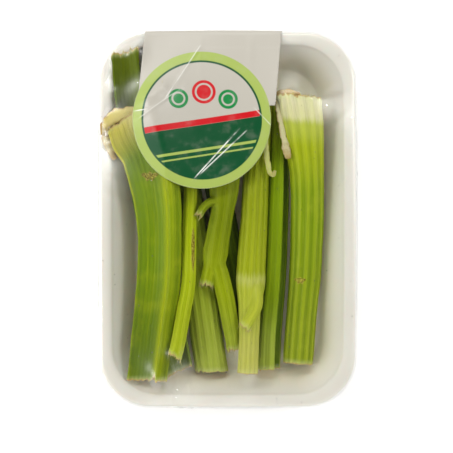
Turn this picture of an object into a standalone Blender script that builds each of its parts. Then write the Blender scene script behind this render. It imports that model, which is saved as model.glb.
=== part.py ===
"""A supermarket pack of cut celery: nine stalks in a shallow foam tray under stretched film, with a sticker.

Everything is at real size, in metres, with +Z up. The heads of the stalks, their pale root ends, point to +Y.
The stalks are laid into the tray one after another, each coming to rest on the floor, on the sloping walls
and on the stalks already there. The film is then pulled tight over the heap and round under the tray.
"""

import math
from typing import NamedTuple

import bmesh
import bpy
import numpy as np
from mathutils import Vector
from mathutils.bvhtree import BVHTree

MM = 0.001

# Tray: outer size of the rim, its height above the table, and the form of its corners and sides.
RIM_WIDTH = 142.5 * MM
RIM_LENGTH = 209.0 * MM
RIM_HEIGHT = 20.0 * MM
CORNER_RADIUS = 27.0 * MM
CORNER_TIGHTENING = 0.35  # how much of each inset the corner radius loses
SIDE_BOW = 0.8 * MM

# Faces along each side of the tray and film: half corner, straight run, half corner.
CORNER_STEPS = 3
WIDTH_STEPS = 12
LENGTH_STEPS = 10

# Foam shell, as (inset from the rim's outline, height) in millimetres: floor, wall, rim, outer wall, base.
TRAY_PROFILE = (
    (23.5, 3.7), (20.0, 4.6), (17.5, 6.6), (8.0, 17.4), (6.6, 19.2), (4.8, 20.0), (2.2, 20.0),
    (0.6, 19.5), (0.0, 18.6), (0.4, 17.3), (2.8, 16.6), (5.4, 15.6), (16.5, 3.6), (19.0, 1.5), (22.5, 0.7),
)
# Film outside the rim, the same way, ending at the slot that its folded ends leave under the tray.
FILM_PROFILE = (
    (-0.5, 19.3), (-0.5, 17.2), (17.0, 2.4), (19.2, 0.9), (22.6, 0.4), (27.0, 0.4), (44.0, 0.4), (62.0, 0.4),
)
FILM_TOP_EDGE = (1.6, 20.4)
FILM_THICKNESS = 0.4 * MM
FILM_CLEARANCE = 0.7 * MM
EVENING_PASSES = 500
DRAPING_PASSES = 900
BORDER_SLACK = 0.985  # how slowly a raised border sinks back on each pass
DRAPE_STEPS = 10  # each face of the film's top feels for the heap at points this many to an edge

# Sticker: a round field hanging from a straight tab that folds over the rim at the +Y end.
LABEL_CENTRE = (-14.3 * MM, 55.5 * MM)
LABEL_RADIUS = 38.4 * MM
LABEL_TAB_SIDES = (-47.5 * MM, 30.8 * MM)
LABEL_LOW_END = 9.0 * MM
LABEL_ARC = (math.radians(150.0), math.radians(362.0))
LABEL_ARC_STEPS = 20
LABEL_THICKNESS = 0.4 * MM
LABEL_GAP = 0.3 * MM

# Laying the stalks.
STALK_GAP = 0.6 * MM
RINGS_LAID = 37  # cross-sections of a stem that feel for what lies below
LIMB_RINGS_LAID = 19
RING_STRIDE = 3  # every third of them shapes the solid
CHANNEL_POINTS = 5
BOWS = tuple(0.25 * i for i in range(-9, 10))  # curvatures that a limp stalk may take, per metre

FOAM = ("foam", (0.86, 0.84, 0.78, 1.0), 0.65)
FILM = ("film", (0.95, 0.96, 0.95, 0.12), 0.06)
PAPER = ("label_paper", (0.82, 0.81, 0.77, 1.0), 0.35)
DEEP_GREEN = ("stalk_green", (0.22, 0.33, 0.02, 1.0), 0.35)
PALE_GREEN = ("stalk_pale_green", (0.45, 0.50, 0.10, 1.0), 0.35)


class Station(NamedTuple):
    """A place along a stalk, in millimetres: its middle on the plan, the stalk's size and its lift there."""

    x: float
    y: float
    width: float
    depth: float
    lift: float = 0.0


class Section(NamedTuple):
    """The form of a stalk's cross-section.

    opening: direction that the channel faces, in degrees, 90 being up and 270 down.
    span: how wide the channel's mouth is, in degrees of the outline.
    channel: depth of the channel as a share of the stalk behind its mouth.
    ribs: how many strings stand along the back.
    relief: how far they stand out, in millimetres.
    """

    opening: float
    span: float
    channel: float
    ribs: int
    relief: float


class Stalk(NamedTuple):
    """A stalk: its stem from the root end on, how its two ends are cut, and its branches and torn strips."""

    name: str
    finish: tuple
    form: Section
    stem: tuple
    cuts: tuple = (0.0, 0.0)
    limbs: tuple = ()


CHANNEL_UP = Section(opening=90.0, span=130.0, channel=0.5, ribs=6, relief=0.3)
TURNED_LEFT = Section(opening=125.0, span=120.0, channel=0.55, ribs=7, relief=0.35)
TURNED_RIGHT = Section(opening=20.0, span=80.0, channel=0.45, ribs=6, relief=0.3)
ARCHED = Section(opening=270.0, span=150.0, channel=0.42, ribs=7, relief=0.4)
STEM = Section(opening=270.0, span=70.0, channel=0.18, ribs=6, relief=0.25)
SHOOT = Section(opening=270.0, span=60.0, channel=0.12, ribs=3, relief=0.15)
STRIP = Section(opening=270.0, span=150.0, channel=0.12, ribs=2, relief=0.05)

# The stalks in the order in which they lie, lowest first. Each is named by its place or look in the tray.
STALKS = (
    Stalk("stalk_back_left", DEEP_GREEN, CHANNEL_UP, cuts=(-10.0, -14.0), stem=(
        Station(-57.4, 94.0, 14.2, 8.5, -1.4), Station(-56.4, 80.0, 15.4, 10.5, -0.4),
        Station(-53.9, 58.9, 15.8, 12.5), Station(-48.2, 25.2, 15.8, 12.5), Station(-42.0, -8.8, 15.8, 12.5),
        Station(-34.6, -49.0, 15.4, 12.0), Station(-27.2, -85.7, 14.8, 11.5),
    )),
    Stalk("stalk_under_middle", DEEP_GREEN, ARCHED, cuts=(0.0, 8.0), stem=(
        Station(-31.5, 66.0, 17.0, 14.0), Station(-26.6, 34.0, 17.2, 14.0), Station(-21.5, 0.0, 17.4, 14.0),
        Station(-16.3, -34.4, 17.4, 14.0), Station(-12.0, -66.3, 17.6, 14.0),
        Station(-9.0, -86.0, 17.8, 13.5),
    )),
    Stalk("stalk_hidden", DEEP_GREEN, ARCHED, stem=(
        Station(-14.1, 68.0, 13.4, 12.0), Station(-8.9, 36.9, 13.6, 12.0), Station(-3.0, 4.0, 13.8, 12.0),
        Station(4.6, -34.0, 13.8, 12.0), Station(11.0, -69.0, 13.4, 11.0),
    )),
    Stalk("stalk_green", DEEP_GREEN, TURNED_RIGHT, cuts=(0.0, -5.0), stem=(
        Station(29.0, 66.0, 10.8, 9.0), Station(29.7, 45.1, 11.4, 9.5), Station(29.6, 24.1, 12.4, 10.0),
        Station(28.6, -7.6, 13.4, 10.5), Station(27.3, -34.3, 13.7, 10.5), Station(24.8, -62.6, 14.3, 10.0),
        Station(23.8, -84.7, 14.2, 9.5),
    )),
    Stalk("stalk_ribbed_right", DEEP_GREEN, ARCHED, cuts=(14.0, 0.0), stem=(
        Station(39.4, 69.5, 23.6, 14.0), Station(41.8, 54.0, 23.0, 16.0), Station(43.4, 40.0, 20.6, 17.0),
        Station(44.9, 23.0, 18.2, 17.5), Station(45.2, 2.0, 18.0, 17.5), Station(44.2, -28.0, 17.4, 17.0),
        Station(42.1, -53.0, 16.6, 16.0), Station(39.9, -81.3, 16.2, 15.0),
    ), limbs=((STRIP, (
        Station(31.4, 64.0, 5.0, 1.6, 2.4), Station(31.0, 50.0, 4.2, 1.4, 3.0),
        Station(32.6, 35.0, 2.4, 1.2, 3.0),
    )),)),
    Stalk("stalk_broad_left", DEEP_GREEN, TURNED_LEFT, cuts=(-24.0, -6.0), stem=(
        Station(-51.5, 61.3, 35.0, 11.0), Station(-49.0, 51.0, 35.0, 13.0), Station(-44.0, 38.0, 31.6, 14.0),
        Station(-40.3, 18.2, 27.6, 14.0), Station(-38.4, -3.1, 24.8, 13.5), Station(-39.0, -34.0, 24.4, 13.0),
        Station(-42.3, -62.2, 23.0, 12.5), Station(-45.4, -90.0, 22.0, 12.0),
    ), limbs=((STRIP, (
        Station(-65.4, 53.0, 5.4, 3.6, -2.2), Station(-66.4, 46.0, 5.0, 2.4, -1.4),
        Station(-62.4, 34.5, 2.4, 1.6, 0.0),
    )),)),
    Stalk("stalk_thin", PALE_GREEN, STEM, cuts=(0.0, 20.0), stem=(
        Station(-20.6, 66.9, 7.4, 7.0), Station(-21.0, 18.2, 7.4, 7.0), Station(-21.6, -5.9, 7.6, 7.0),
        Station(-22.0, -34.0, 7.8, 7.2), Station(-24.6, -51.0, 7.8, 7.2), Station(-27.6, -68.0, 7.7, 7.0),
        Station(-29.6, -76.0, 7.6, 7.0),
    )),
    Stalk("stalk_forked", PALE_GREEN, STEM, stem=(
        Station(0.7, 74.0, 18.0, 10.5), Station(-0.4, 44.6, 17.6, 10.8), Station(-2.0, 18.2, 16.4, 11.0),
        Station(-3.0, 5.3, 13.0, 11.0), Station(-5.4, -9.0, 13.0, 10.5), Station(-7.4, -21.5, 13.8, 10.2),
        Station(-8.2, -28.5, 8.6, 7.6, 0.2),
    ), limbs=(
        (STEM, (
            Station(-7.2, -19.5, 8.6, 8.4, 0.6), Station(-3.9, -32.5, 9.8, 8.6),
            Station(-1.0, -44.5, 9.7, 8.4), Station(1.9, -61.2, 8.9, 8.2), Station(3.9, -73.2, 7.6, 7.6),
        )),
        (STEM, (
            Station(-8.4, -19.5, 7.2, 7.6, 0.2), Station(-10.0, -28.0, 8.2, 8.0, 0.3),
            Station(-12.0, -36.6, 7.8, 7.4, 0.6),
        )),
        (SHOOT, (
            Station(-4.6, 10.0, 5.4, 5.0, 2.4), Station(-8.8, 10.4, 5.0, 4.6, 3.0),
            Station(-13.0, 7.6, 4.4, 4.2, 3.4), Station(-16.2, 2.6, 4.0, 3.4, 3.4),
        )),
    )),
    Stalk("stalk_pale", PALE_GREEN, ARCHED, stem=(
        Station(19.9, 77.4, 11.4, 13.0), Station(17.6, 47.6, 12.6, 13.5), Station(15.9, 23.9, 13.6, 14.0),
        Station(15.0, 2.0, 14.4, 14.5), Station(13.4, -24.0, 15.2, 14.5), Station(12.9, -37.0, 15.6, 15.0),
        Station(12.4, -48.0, 12.0, 12.0), Station(12.2, -62.5, 10.6, 10.5), Station(11.2, -86.0, 10.6, 10.0),
    ), limbs=(
        (SHOOT, (
            Station(15.2, -33.0, 7.0, 5.0, 3.8), Station(16.2, -41.5, 7.2, 5.2, 5.2),
            Station(15.4, -49.5, 6.8, 5.0, 6.0), Station(9.4, -60.0, 6.6, 4.6, 6.2),
        )),
        (STRIP, (
            Station(20.6, 60.0, 3.8, 1.8, 5.2), Station(20.8, 44.4, 3.4, 1.6, 5.8),
            Station(21.8, 34.0, 2.8, 1.6, 5.8), Station(23.6, 26.0, 3.0, 2.2, 5.4),
        )),
    )),
)


def clear_scene():
    """Removes what the start-up scene holds."""
    for obj in list(bpy.data.objects):
        bpy.data.objects.remove(obj, do_unlink=True)


def material_of(finish):
    """The Principled material of a finish given as (name, colour, roughness), made once."""
    name, colour, roughness = finish
    found = bpy.data.materials.get(name)
    if found:
        return found
    material = bpy.data.materials.new(name)
    material.use_nodes = True
    shader = material.node_tree.nodes["Principled BSDF"]
    shader.inputs["Base Color"].default_value = (*colour[:3], 1.0)
    shader.inputs["Alpha"].default_value = colour[3]
    shader.inputs["Roughness"].default_value = roughness
    return material


def object_from(name, bm, finish, smooth_angle=50.0):
    """Turns a bmesh into a shaded object with one material, and frees the bmesh."""
    mesh = bpy.data.meshes.new(name)
    bm.to_mesh(mesh)
    bm.free()
    mesh.materials.append(material_of(finish))
    mesh.shade_smooth()
    mesh.set_sharp_from_angle(angle=math.radians(smooth_angle))
    obj = bpy.data.objects.new(name, mesh)
    bpy.context.scene.collection.objects.link(obj)
    return obj


def evaluated_mesh(obj):
    """A new mesh holding the object as its modifiers leave it."""
    bpy.context.view_layer.update()
    graph = bpy.context.evaluated_depsgraph_get()
    return bpy.data.meshes.new_from_object(obj.evaluated_get(graph))


def side_points(half_along, half_across, radius, steps):
    """One side of a rounded rectangle, seen from outside and run left to right.

    It starts and ends in the middle of a corner. Each point is (along, outward), measured from the centre.
    The last point is left to the next side.
    """
    straight = half_along - radius
    points = []
    for i in range(CORNER_STEPS):
        turn = math.radians(45.0) * (1.0 - i / CORNER_STEPS)
        points.append((-straight - radius * math.sin(turn), half_across - radius * (1.0 - math.cos(turn))))
    for i in range(steps + 1):
        points.append((straight * (2.0 * i / steps - 1.0), half_across))
    for i in range(1, CORNER_STEPS):
        turn = math.radians(45.0) * i / CORNER_STEPS
        points.append((straight + radius * math.sin(turn), half_across - radius * (1.0 - math.cos(turn))))
    reach = half_along - radius * (1.0 - math.cos(math.radians(45.0)))
    return [(u, w + SIDE_BOW * max(0.0, 1.0 - (u / reach) ** 2)) for u, w in points]


def outline(inset_mm, height_mm):
    """The tray's outline moved in by an inset, at a height: points anticlockwise from the -X -Y corner."""
    inset = inset_mm * MM
    half_x = RIM_WIDTH / 2 - inset
    half_y = RIM_LENGTH / 2 - inset
    radius = CORNER_RADIUS - CORNER_TIGHTENING * inset
    across = side_points(half_x, half_y, radius, WIDTH_STEPS)
    along = side_points(half_y, half_x, radius, LENGTH_STEPS)
    z = height_mm * MM
    south = [Vector((u, -w, z)) for u, w in across]
    east = [Vector((w, u, z)) for u, w in along]
    north = [Vector((-u, w, z)) for u, w in across]
    west = [Vector((-w, -u, z)) for u, w in along]
    return south + east + north + west


def extrude_to(bm, edges, numbers, ring):
    """Extrudes a border and puts each new vertex at its own place on the ring. Returns the new border."""
    made = bmesh.ops.extrude_edge_only(bm, edges=edges)["geom"]
    for item in made:
        if isinstance(item, bmesh.types.BMVert):
            item.co = ring[item[numbers]]
    return [item for item in made if isinstance(item, bmesh.types.BMEdge) and item.is_boundary]


def foam_tray():
    """The shallow tray: one foam shell whose profile runs from the floor over the rim and down outside."""
    rings = [outline(inset, height) for inset, height in TRAY_PROFILE]
    bm = bmesh.new()
    numbers = bm.verts.layers.int.new("number")
    bmesh.ops.create_circle(bm, segments=len(rings[0]), radius=1.0, cap_ends=True)
    for number, vert in enumerate(bm.verts):
        vert[numbers] = number
        vert.co = rings[0][number]
    border = list(bm.edges)
    for ring in rings[1:]:
        border = extrude_to(bm, border, numbers, ring)
    bmesh.ops.contextual_create(bm, geom=border)
    bmesh.ops.recalc_face_normals(bm, faces=bm.faces)
    return object_from("tray", bm, FOAM)


def smooth_rows(stations, count):
    """Stations resampled at equal steps along a smooth curve through them, one row of numbers for each."""
    rows = np.array(stations, float)
    padded = np.vstack([2 * rows[0] - rows[1], rows, 2 * rows[-1] - rows[-2]])
    run = np.concatenate([[0.0], np.cumsum(np.hypot(*np.diff(rows[:, :2], axis=0).T))])
    result = []
    for along in np.linspace(0.0, run[-1], count):
        k = min(int(np.searchsorted(run, along, side="right")) - 1, len(rows) - 2)
        t = (along - run[k]) / (run[k + 1] - run[k])
        p0, p1, p2, p3 = padded[k:k + 4]
        result.append(
            0.5 * (2 * p1 + (p2 - p0) * t + (2 * p0 - 5 * p1 + 4 * p2 - p3) * t ** 2
                   + (3 * p1 - p0 - 3 * p2 + p3) * t ** 3)
        )
    return np.array(result)


def section_points(form, width, depth):
    """The closed outline of a stalk's cross-section in millimetres, as (across, up) pairs."""
    start = math.radians(form.opening + form.span / 2)
    sweep = math.radians(360.0 - form.span)
    half = np.array([width / 2, depth / 2])
    steps = 3 * form.ribs
    back = []
    for i in range(steps + 1):
        angle = start + sweep * i / steps
        stand = form.relief if i % 3 else 0.0
        back.append(np.array([math.cos(angle), math.sin(angle)]) * (half + stand))
    mouth = back[0] - back[-1]
    facing = math.radians(form.opening)
    inward = -np.array([math.cos(facing), math.sin(facing)])
    behind = max(float((p - back[-1]) @ inward) for p in back)
    channel = []
    for i in range(1, CHANNEL_POINTS + 1):
        share = i / (CHANNEL_POINTS + 1)
        sunk = behind * form.channel * math.sin(math.pi * share) ** 0.6
        channel.append(back[-1] + mouth * share + inward * sunk)
    return np.array(back + channel)


def stem_rings(stations, form, count, cuts=(0.0, 0.0)):
    """Cross-sections along a stem as an array of (ring, point, xyz) in metres, before it is laid down.

    The rings stand square across the run, but for a lean that passes from the cut of one end to the other's.
    """
    rows = smooth_rows(stations, count)
    runs = np.gradient(rows[:, :2], axis=0)
    runs /= np.linalg.norm(runs, axis=1)[:, None]
    leans = np.tan(np.radians(np.linspace(*cuts, count)))
    rings = []
    for (x, y, width, depth, lift), run, lean in zip(rows, runs, leans):
        flat = section_points(form, width, depth)
        across = np.array([-run[1], run[0]])
        plan = np.array([x, y]) + flat[:, :1] * (across + lean * run)
        rings.append(np.column_stack([plan, flat[:, 1] + lift]) * MM)
    return np.array(rings)


def surface_of(objects):
    """One searchable surface made of several solids."""
    points, faces = [], []
    for obj in objects:
        offset = len(points)
        points += [obj.matrix_world @ v.co for v in obj.data.vertices]
        faces += [[offset + i for i in p.vertices] for p in obj.data.polygons]
    return BVHTree.FromPolygons(points, faces)


def height_over(surface, x, y):
    """How high the surface lies at a place on the plan, or None beside it."""
    hit = surface.ray_cast(Vector((x, y, 1.0)), Vector((0.0, 0.0, -1.0)))[0]
    return None if hit is None else hit.z


def line_over(places, heights):
    """The line on which a stiff rod comes to rest: over one support on either side of its middle, at place 0.

    Returns its height at the middle and its slope.
    """
    supports = list(zip(places, heights))
    lines = []
    for y1, z1 in supports:
        for y2, z2 in supports:
            if y1 <= 0.0 < y2:
                slope = (z2 - z1) / (y2 - y1)
                lines.append((z1 - slope * y1, slope))
    return max(lines)


def rest_on(surface, limbs):
    """Lays a stalk's cross-sections, with those of its limbs, on a surface by lifting them.

    The stalk may take any of the bows, and takes the one that lets it lie closest.
    """
    needs = []
    for ring in (ring for rings in limbs for ring in rings):
        tops = [(height_over(surface, x, y), z) for x, y, z in ring]
        needs += [(ring[:, 1].mean(), max(top + STALK_GAP - z for top, z in tops if top is not None))]
    places, heights = np.array(needs).T
    middle = places.mean()
    places -= middle
    fits = []
    for bow in BOWS:
        level, slope = line_over(places, heights - bow / 2 * places ** 2)
        slack = (level + slope * places + bow / 2 * places ** 2 - heights).mean()
        fits.append((slack, level, slope, bow))
    slack, level, slope, bow = min(fits)
    for rings in limbs:
        y = rings[:, :, 1] - middle
        rings[:, :, 2] += level + slope * y + bow / 2 * y ** 2


def solid_from_rings(name, rings, finish):
    """A closed solid skinned over rings of matching points."""
    bm = bmesh.new()
    loops = []
    for ring in rings:
        verts = [bm.verts.new(point) for point in ring]
        loops.append([bm.edges.new((verts[i - 1], verts[i])) for i in range(len(verts))])
    for before, after in zip(loops, loops[1:]):
        bmesh.ops.bridge_loops(bm, edges=before + after)
    bmesh.ops.contextual_create(bm, geom=loops[0])
    bmesh.ops.contextual_create(bm, geom=loops[-1])
    bmesh.ops.recalc_face_normals(bm, faces=bm.faces)
    return object_from(name, bm, finish)


def fused(body, limbs):
    """Joins limbs to the body as one solid and removes the loose limbs."""
    if not limbs:
        return body
    group = bpy.data.collections.new(body.name + "_limbs")
    bpy.context.scene.collection.children.link(group)
    for limb in limbs:
        bpy.context.scene.collection.objects.unlink(limb)
        group.objects.link(limb)
    union = body.modifiers.new("join limbs", "BOOLEAN")
    union.operation = "UNION"
    union.operand_type = "COLLECTION"
    union.collection = group
    union.solver = "EXACT"
    body.data = evaluated_mesh(body)
    body.modifiers.clear()
    for limb in limbs:
        bpy.data.objects.remove(limb, do_unlink=True)
    bpy.data.collections.remove(group)
    return body


def laid_stalk(stalk, below):
    """Builds one stalk with its limbs, lying on what is already in the tray."""
    parts = [stem_rings(stalk.stem, stalk.form, RINGS_LAID, stalk.cuts)]
    parts += [stem_rings(stations, form, LIMB_RINGS_LAID) for form, stations in stalk.limbs]
    rest_on(surface_of(below), parts)
    solids = [
        solid_from_rings(f"{stalk.name}_{i}" if i else stalk.name, rings[::RING_STRIDE], stalk.finish)
        for i, rings in enumerate(parts)
    ]
    return fused(solids[0], solids[1:])


def celery(tray):
    """All the stalks, each lying on those before it."""
    pile = [tray]
    for stalk in STALKS:
        pile.append(laid_stalk(stalk, pile))
    return pile[1:]


def drape(bm, surface):
    """Pulls a triangulated sheet tight over a surface: each vertex level with those round it, or held up.

    The border keeps its own height at least.
    """
    count = len(bm.verts)
    heights = np.array([v.co.z for v in bm.verts])
    held = np.array([v.is_boundary for v in bm.verts])
    border_heights = heights.copy()
    ends = np.array([[v.index for v in e.verts] for e in bm.edges])
    degrees = np.bincount(ends.ravel(), minlength=count)
    steps = range(DRAPE_STEPS + 1)
    samples = [(u / DRAPE_STEPS, v / DRAPE_STEPS) for u in steps for v in steps if u + v <= DRAPE_STEPS]
    corners, shares, needs = [], [], []
    for face in bm.faces:
        for u, v in samples:
            weights = (1.0 - u - v, u, v)
            place = sum((w * vert.co for w, vert in zip(weights, face.verts)), Vector())
            top = height_over(surface, place.x, place.y)
            if top is not None:
                corners.append([vert.index for vert in face.verts])
                shares.append(weights)
                needs.append(top + FILM_CLEARANCE)
    corners, shares, needs = np.array(corners), np.array(shares), np.array(needs)
    for _ in range(DRAPING_PASSES):
        totals = np.bincount(ends[:, 0], heights[ends[:, 1]], count)
        totals += np.bincount(ends[:, 1], heights[ends[:, 0]], count)
        at_border = BORDER_SLACK * heights + (1.0 - BORDER_SLACK) * border_heights
        heights = np.where(held, at_border, totals / degrees)
        short = np.maximum(needs - (shares * heights[corners]).sum(axis=1), 0.0)
        rise = np.zeros(count)
        np.maximum.at(rise, corners, (short / (shares ** 2).sum(axis=1))[:, None] * shares)
        heights += rise
    for vert, height in zip(bm.verts, heights):
        vert.co.z = height


def film_skin(contents):
    """The film's inner face as an open sheet: taut over the heap, round the rim and under the tray."""
    columns = WIDTH_STEPS + 2 * CORNER_STEPS
    rows = LENGTH_STEPS + 2 * CORNER_STEPS
    walk = [(c, 0) for c in range(columns)] + [(columns, r) for r in range(rows)]
    walk += [(c, rows) for c in range(columns, 0, -1)] + [(0, r) for r in range(rows, 0, -1)]
    bm = bmesh.new()
    numbers = bm.verts.layers.int.new("number")
    bmesh.ops.create_grid(bm, x_segments=columns, y_segments=rows, size=0.5 * RIM_WIDTH)
    bmesh.ops.translate(bm, verts=bm.verts, vec=(0.0, 0.0, FILM_TOP_EDGE[1] * MM))
    bm.verts.ensure_lookup_table()
    for number, ((c, r), place) in enumerate(zip(walk, outline(*FILM_TOP_EDGE))):
        vert = bm.verts[r * (columns + 1) + c]
        vert[numbers] = number
        vert.co = place
    inner = [v for v in bm.verts if not v.is_boundary]
    for _ in range(EVENING_PASSES):
        bmesh.ops.smooth_vert(bm, verts=inner, factor=1.0, use_axis_x=True, use_axis_y=True)
    bmesh.ops.triangulate(bm, faces=bm.faces, quad_method="FIXED")
    bm.verts.index_update()
    drape(bm, surface_of(contents))
    border = [e for e in bm.edges if e.is_boundary]
    for inset, height in FILM_PROFILE:
        border = extrude_to(bm, border, numbers, outline(inset, height))
    bmesh.ops.triangulate(bm, faces=bm.faces, quad_method="FIXED")
    bmesh.ops.recalc_face_normals(bm, faces=bm.faces)
    return bm


def thickened(name, bm, lift, thickness, finish):
    """A solid from an open sheet: moved off along its normals, then given a thickness outwards."""
    bm.normal_update()
    for vert, normal in [(v, v.normal.copy()) for v in bm.verts]:
        vert.co += normal * lift
    obj = object_from(name, bm, finish)
    wall = obj.modifiers.new("thickness", "SOLIDIFY")
    wall.thickness = thickness
    wall.offset = 1.0
    obj.data = evaluated_mesh(obj)
    obj.modifiers.clear()
    return obj


def label_cutter():
    """An upright prism over the sticker's outline: a disc whose upper part widens into a straight tab."""
    centre = Vector(LABEL_CENTRE)
    far = RIM_LENGTH / 2 + 10 * MM
    left, right = LABEL_TAB_SIDES
    corners = [Vector((left, far))]
    for i in range(LABEL_ARC_STEPS + 1):
        angle = LABEL_ARC[0] + (LABEL_ARC[1] - LABEL_ARC[0]) * i / LABEL_ARC_STEPS
        corners.append(centre + LABEL_RADIUS * Vector((math.cos(angle), math.sin(angle))))
    corners.append(Vector((right, far)))
    bm = bmesh.new()
    base = bm.faces.new([bm.verts.new((*p, LABEL_LOW_END)) for p in corners])
    made = bmesh.ops.extrude_face_region(bm, geom=[base])["geom"]
    top = [item for item in made if isinstance(item, bmesh.types.BMVert)]
    bmesh.ops.translate(bm, verts=top, vec=(0.0, 0.0, 3 * RIM_HEIGHT))
    bmesh.ops.recalc_face_normals(bm, faces=bm.faces)
    cutter = object_from("label_outline", bm, PAPER)
    cutter.hide_render = True
    cutter.display_type = "WIRE"
    return cutter


def sticker(skin):
    """The sticker: a layer lying just off the film, cut to the sticker's outline."""
    label = thickened("label", skin, FILM_THICKNESS + LABEL_GAP, LABEL_THICKNESS, PAPER)
    cut = label.modifiers.new("outline", "BOOLEAN")
    cut.operation = "INTERSECT"
    cut.solver = "EXACT"
    cut.object = label_cutter()
    return label


def centre_on_base(objects):
    """Moves everything so that the origin lies under the middle of the whole pack, on the table."""
    graph = bpy.context.evaluated_depsgraph_get()
    corners = [obj.matrix_world @ Vector(c) for obj in objects for c in obj.evaluated_get(graph).bound_box]
    low = Vector(min(c[i] for c in corners) for i in range(3))
    high = Vector(max(c[i] for c in corners) for i in range(3))
    shift = Vector((-(low.x + high.x) / 2, -(low.y + high.y) / 2, -low.z))
    for obj in bpy.data.objects:
        obj.location += shift


def main():
    clear_scene()
    tray = foam_tray()
    stalks = celery(tray)
    skin = film_skin([tray, *stalks])
    label = sticker(skin.copy())
    film = thickened("film", skin, 0.0, FILM_THICKNESS, FILM)
    bpy.context.view_layer.update()
    centre_on_base([tray, film, label, *stalks])


main()
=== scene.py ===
"""Finishes the film-wrapped tray of celery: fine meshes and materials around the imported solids.

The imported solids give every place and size. Each one is replaced here by a finer piece of the same form:
stalks with strings, cut ends and scars, a foam tray, a stretched clear film and a printed sticker.
Lengths in the tables are millimetres, and MM turns them into Blender's metres.
"""

import logging
import math
from collections.abc import Sequence
from dataclasses import dataclass
from enum import Enum
from typing import NamedTuple

import bmesh
import bpy
import numpy as np
from bpy.types import Material, Node, NodeSocket, NodeTree, Object
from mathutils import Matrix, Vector
from mathutils.bvhtree import BVHTree
from mathutils.kdtree import KDTree


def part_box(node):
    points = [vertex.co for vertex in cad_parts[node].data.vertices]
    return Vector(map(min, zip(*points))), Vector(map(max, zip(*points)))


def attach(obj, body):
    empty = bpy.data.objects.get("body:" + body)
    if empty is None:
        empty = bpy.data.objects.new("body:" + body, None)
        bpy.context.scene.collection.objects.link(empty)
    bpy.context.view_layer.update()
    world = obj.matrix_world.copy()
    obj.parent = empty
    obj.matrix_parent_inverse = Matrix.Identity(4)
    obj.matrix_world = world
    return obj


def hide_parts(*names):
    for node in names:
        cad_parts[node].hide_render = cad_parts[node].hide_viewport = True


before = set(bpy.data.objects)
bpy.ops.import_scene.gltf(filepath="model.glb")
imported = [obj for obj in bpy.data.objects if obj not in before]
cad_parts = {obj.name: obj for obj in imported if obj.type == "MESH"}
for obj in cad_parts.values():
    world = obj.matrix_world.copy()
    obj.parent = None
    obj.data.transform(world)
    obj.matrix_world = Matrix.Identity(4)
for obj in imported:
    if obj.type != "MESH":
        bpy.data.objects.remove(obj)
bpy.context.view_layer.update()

MM = 0.001
BODY = "root"
DOWN = Vector((0.0, 0.0, -1.0))
ABOVE = 1.0
SHARPEST = 60.0

log = logging.getLogger("celery_pack")

Colour = tuple[float, float, float, float]
Stops = tuple[tuple[float, Colour], ...]


def paint(red: int, green: int, blue: int) -> Colour:
    """Turns a screen colour from 0 to 255 into the linear colour that a shader takes.

    Args:
        red: Red part.
        green: Green part.
        blue: Blue part.

    Returns:
        Linear red, green, blue and a full alpha.
    """
    shares = [part / 255 for part in (red, green, blue)]
    linear = [s / 12.92 if s <= 0.04045 else ((s + 0.055) / 1.055) ** 2.4 for s in shares]
    return (linear[0], linear[1], linear[2], 1.0)


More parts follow.
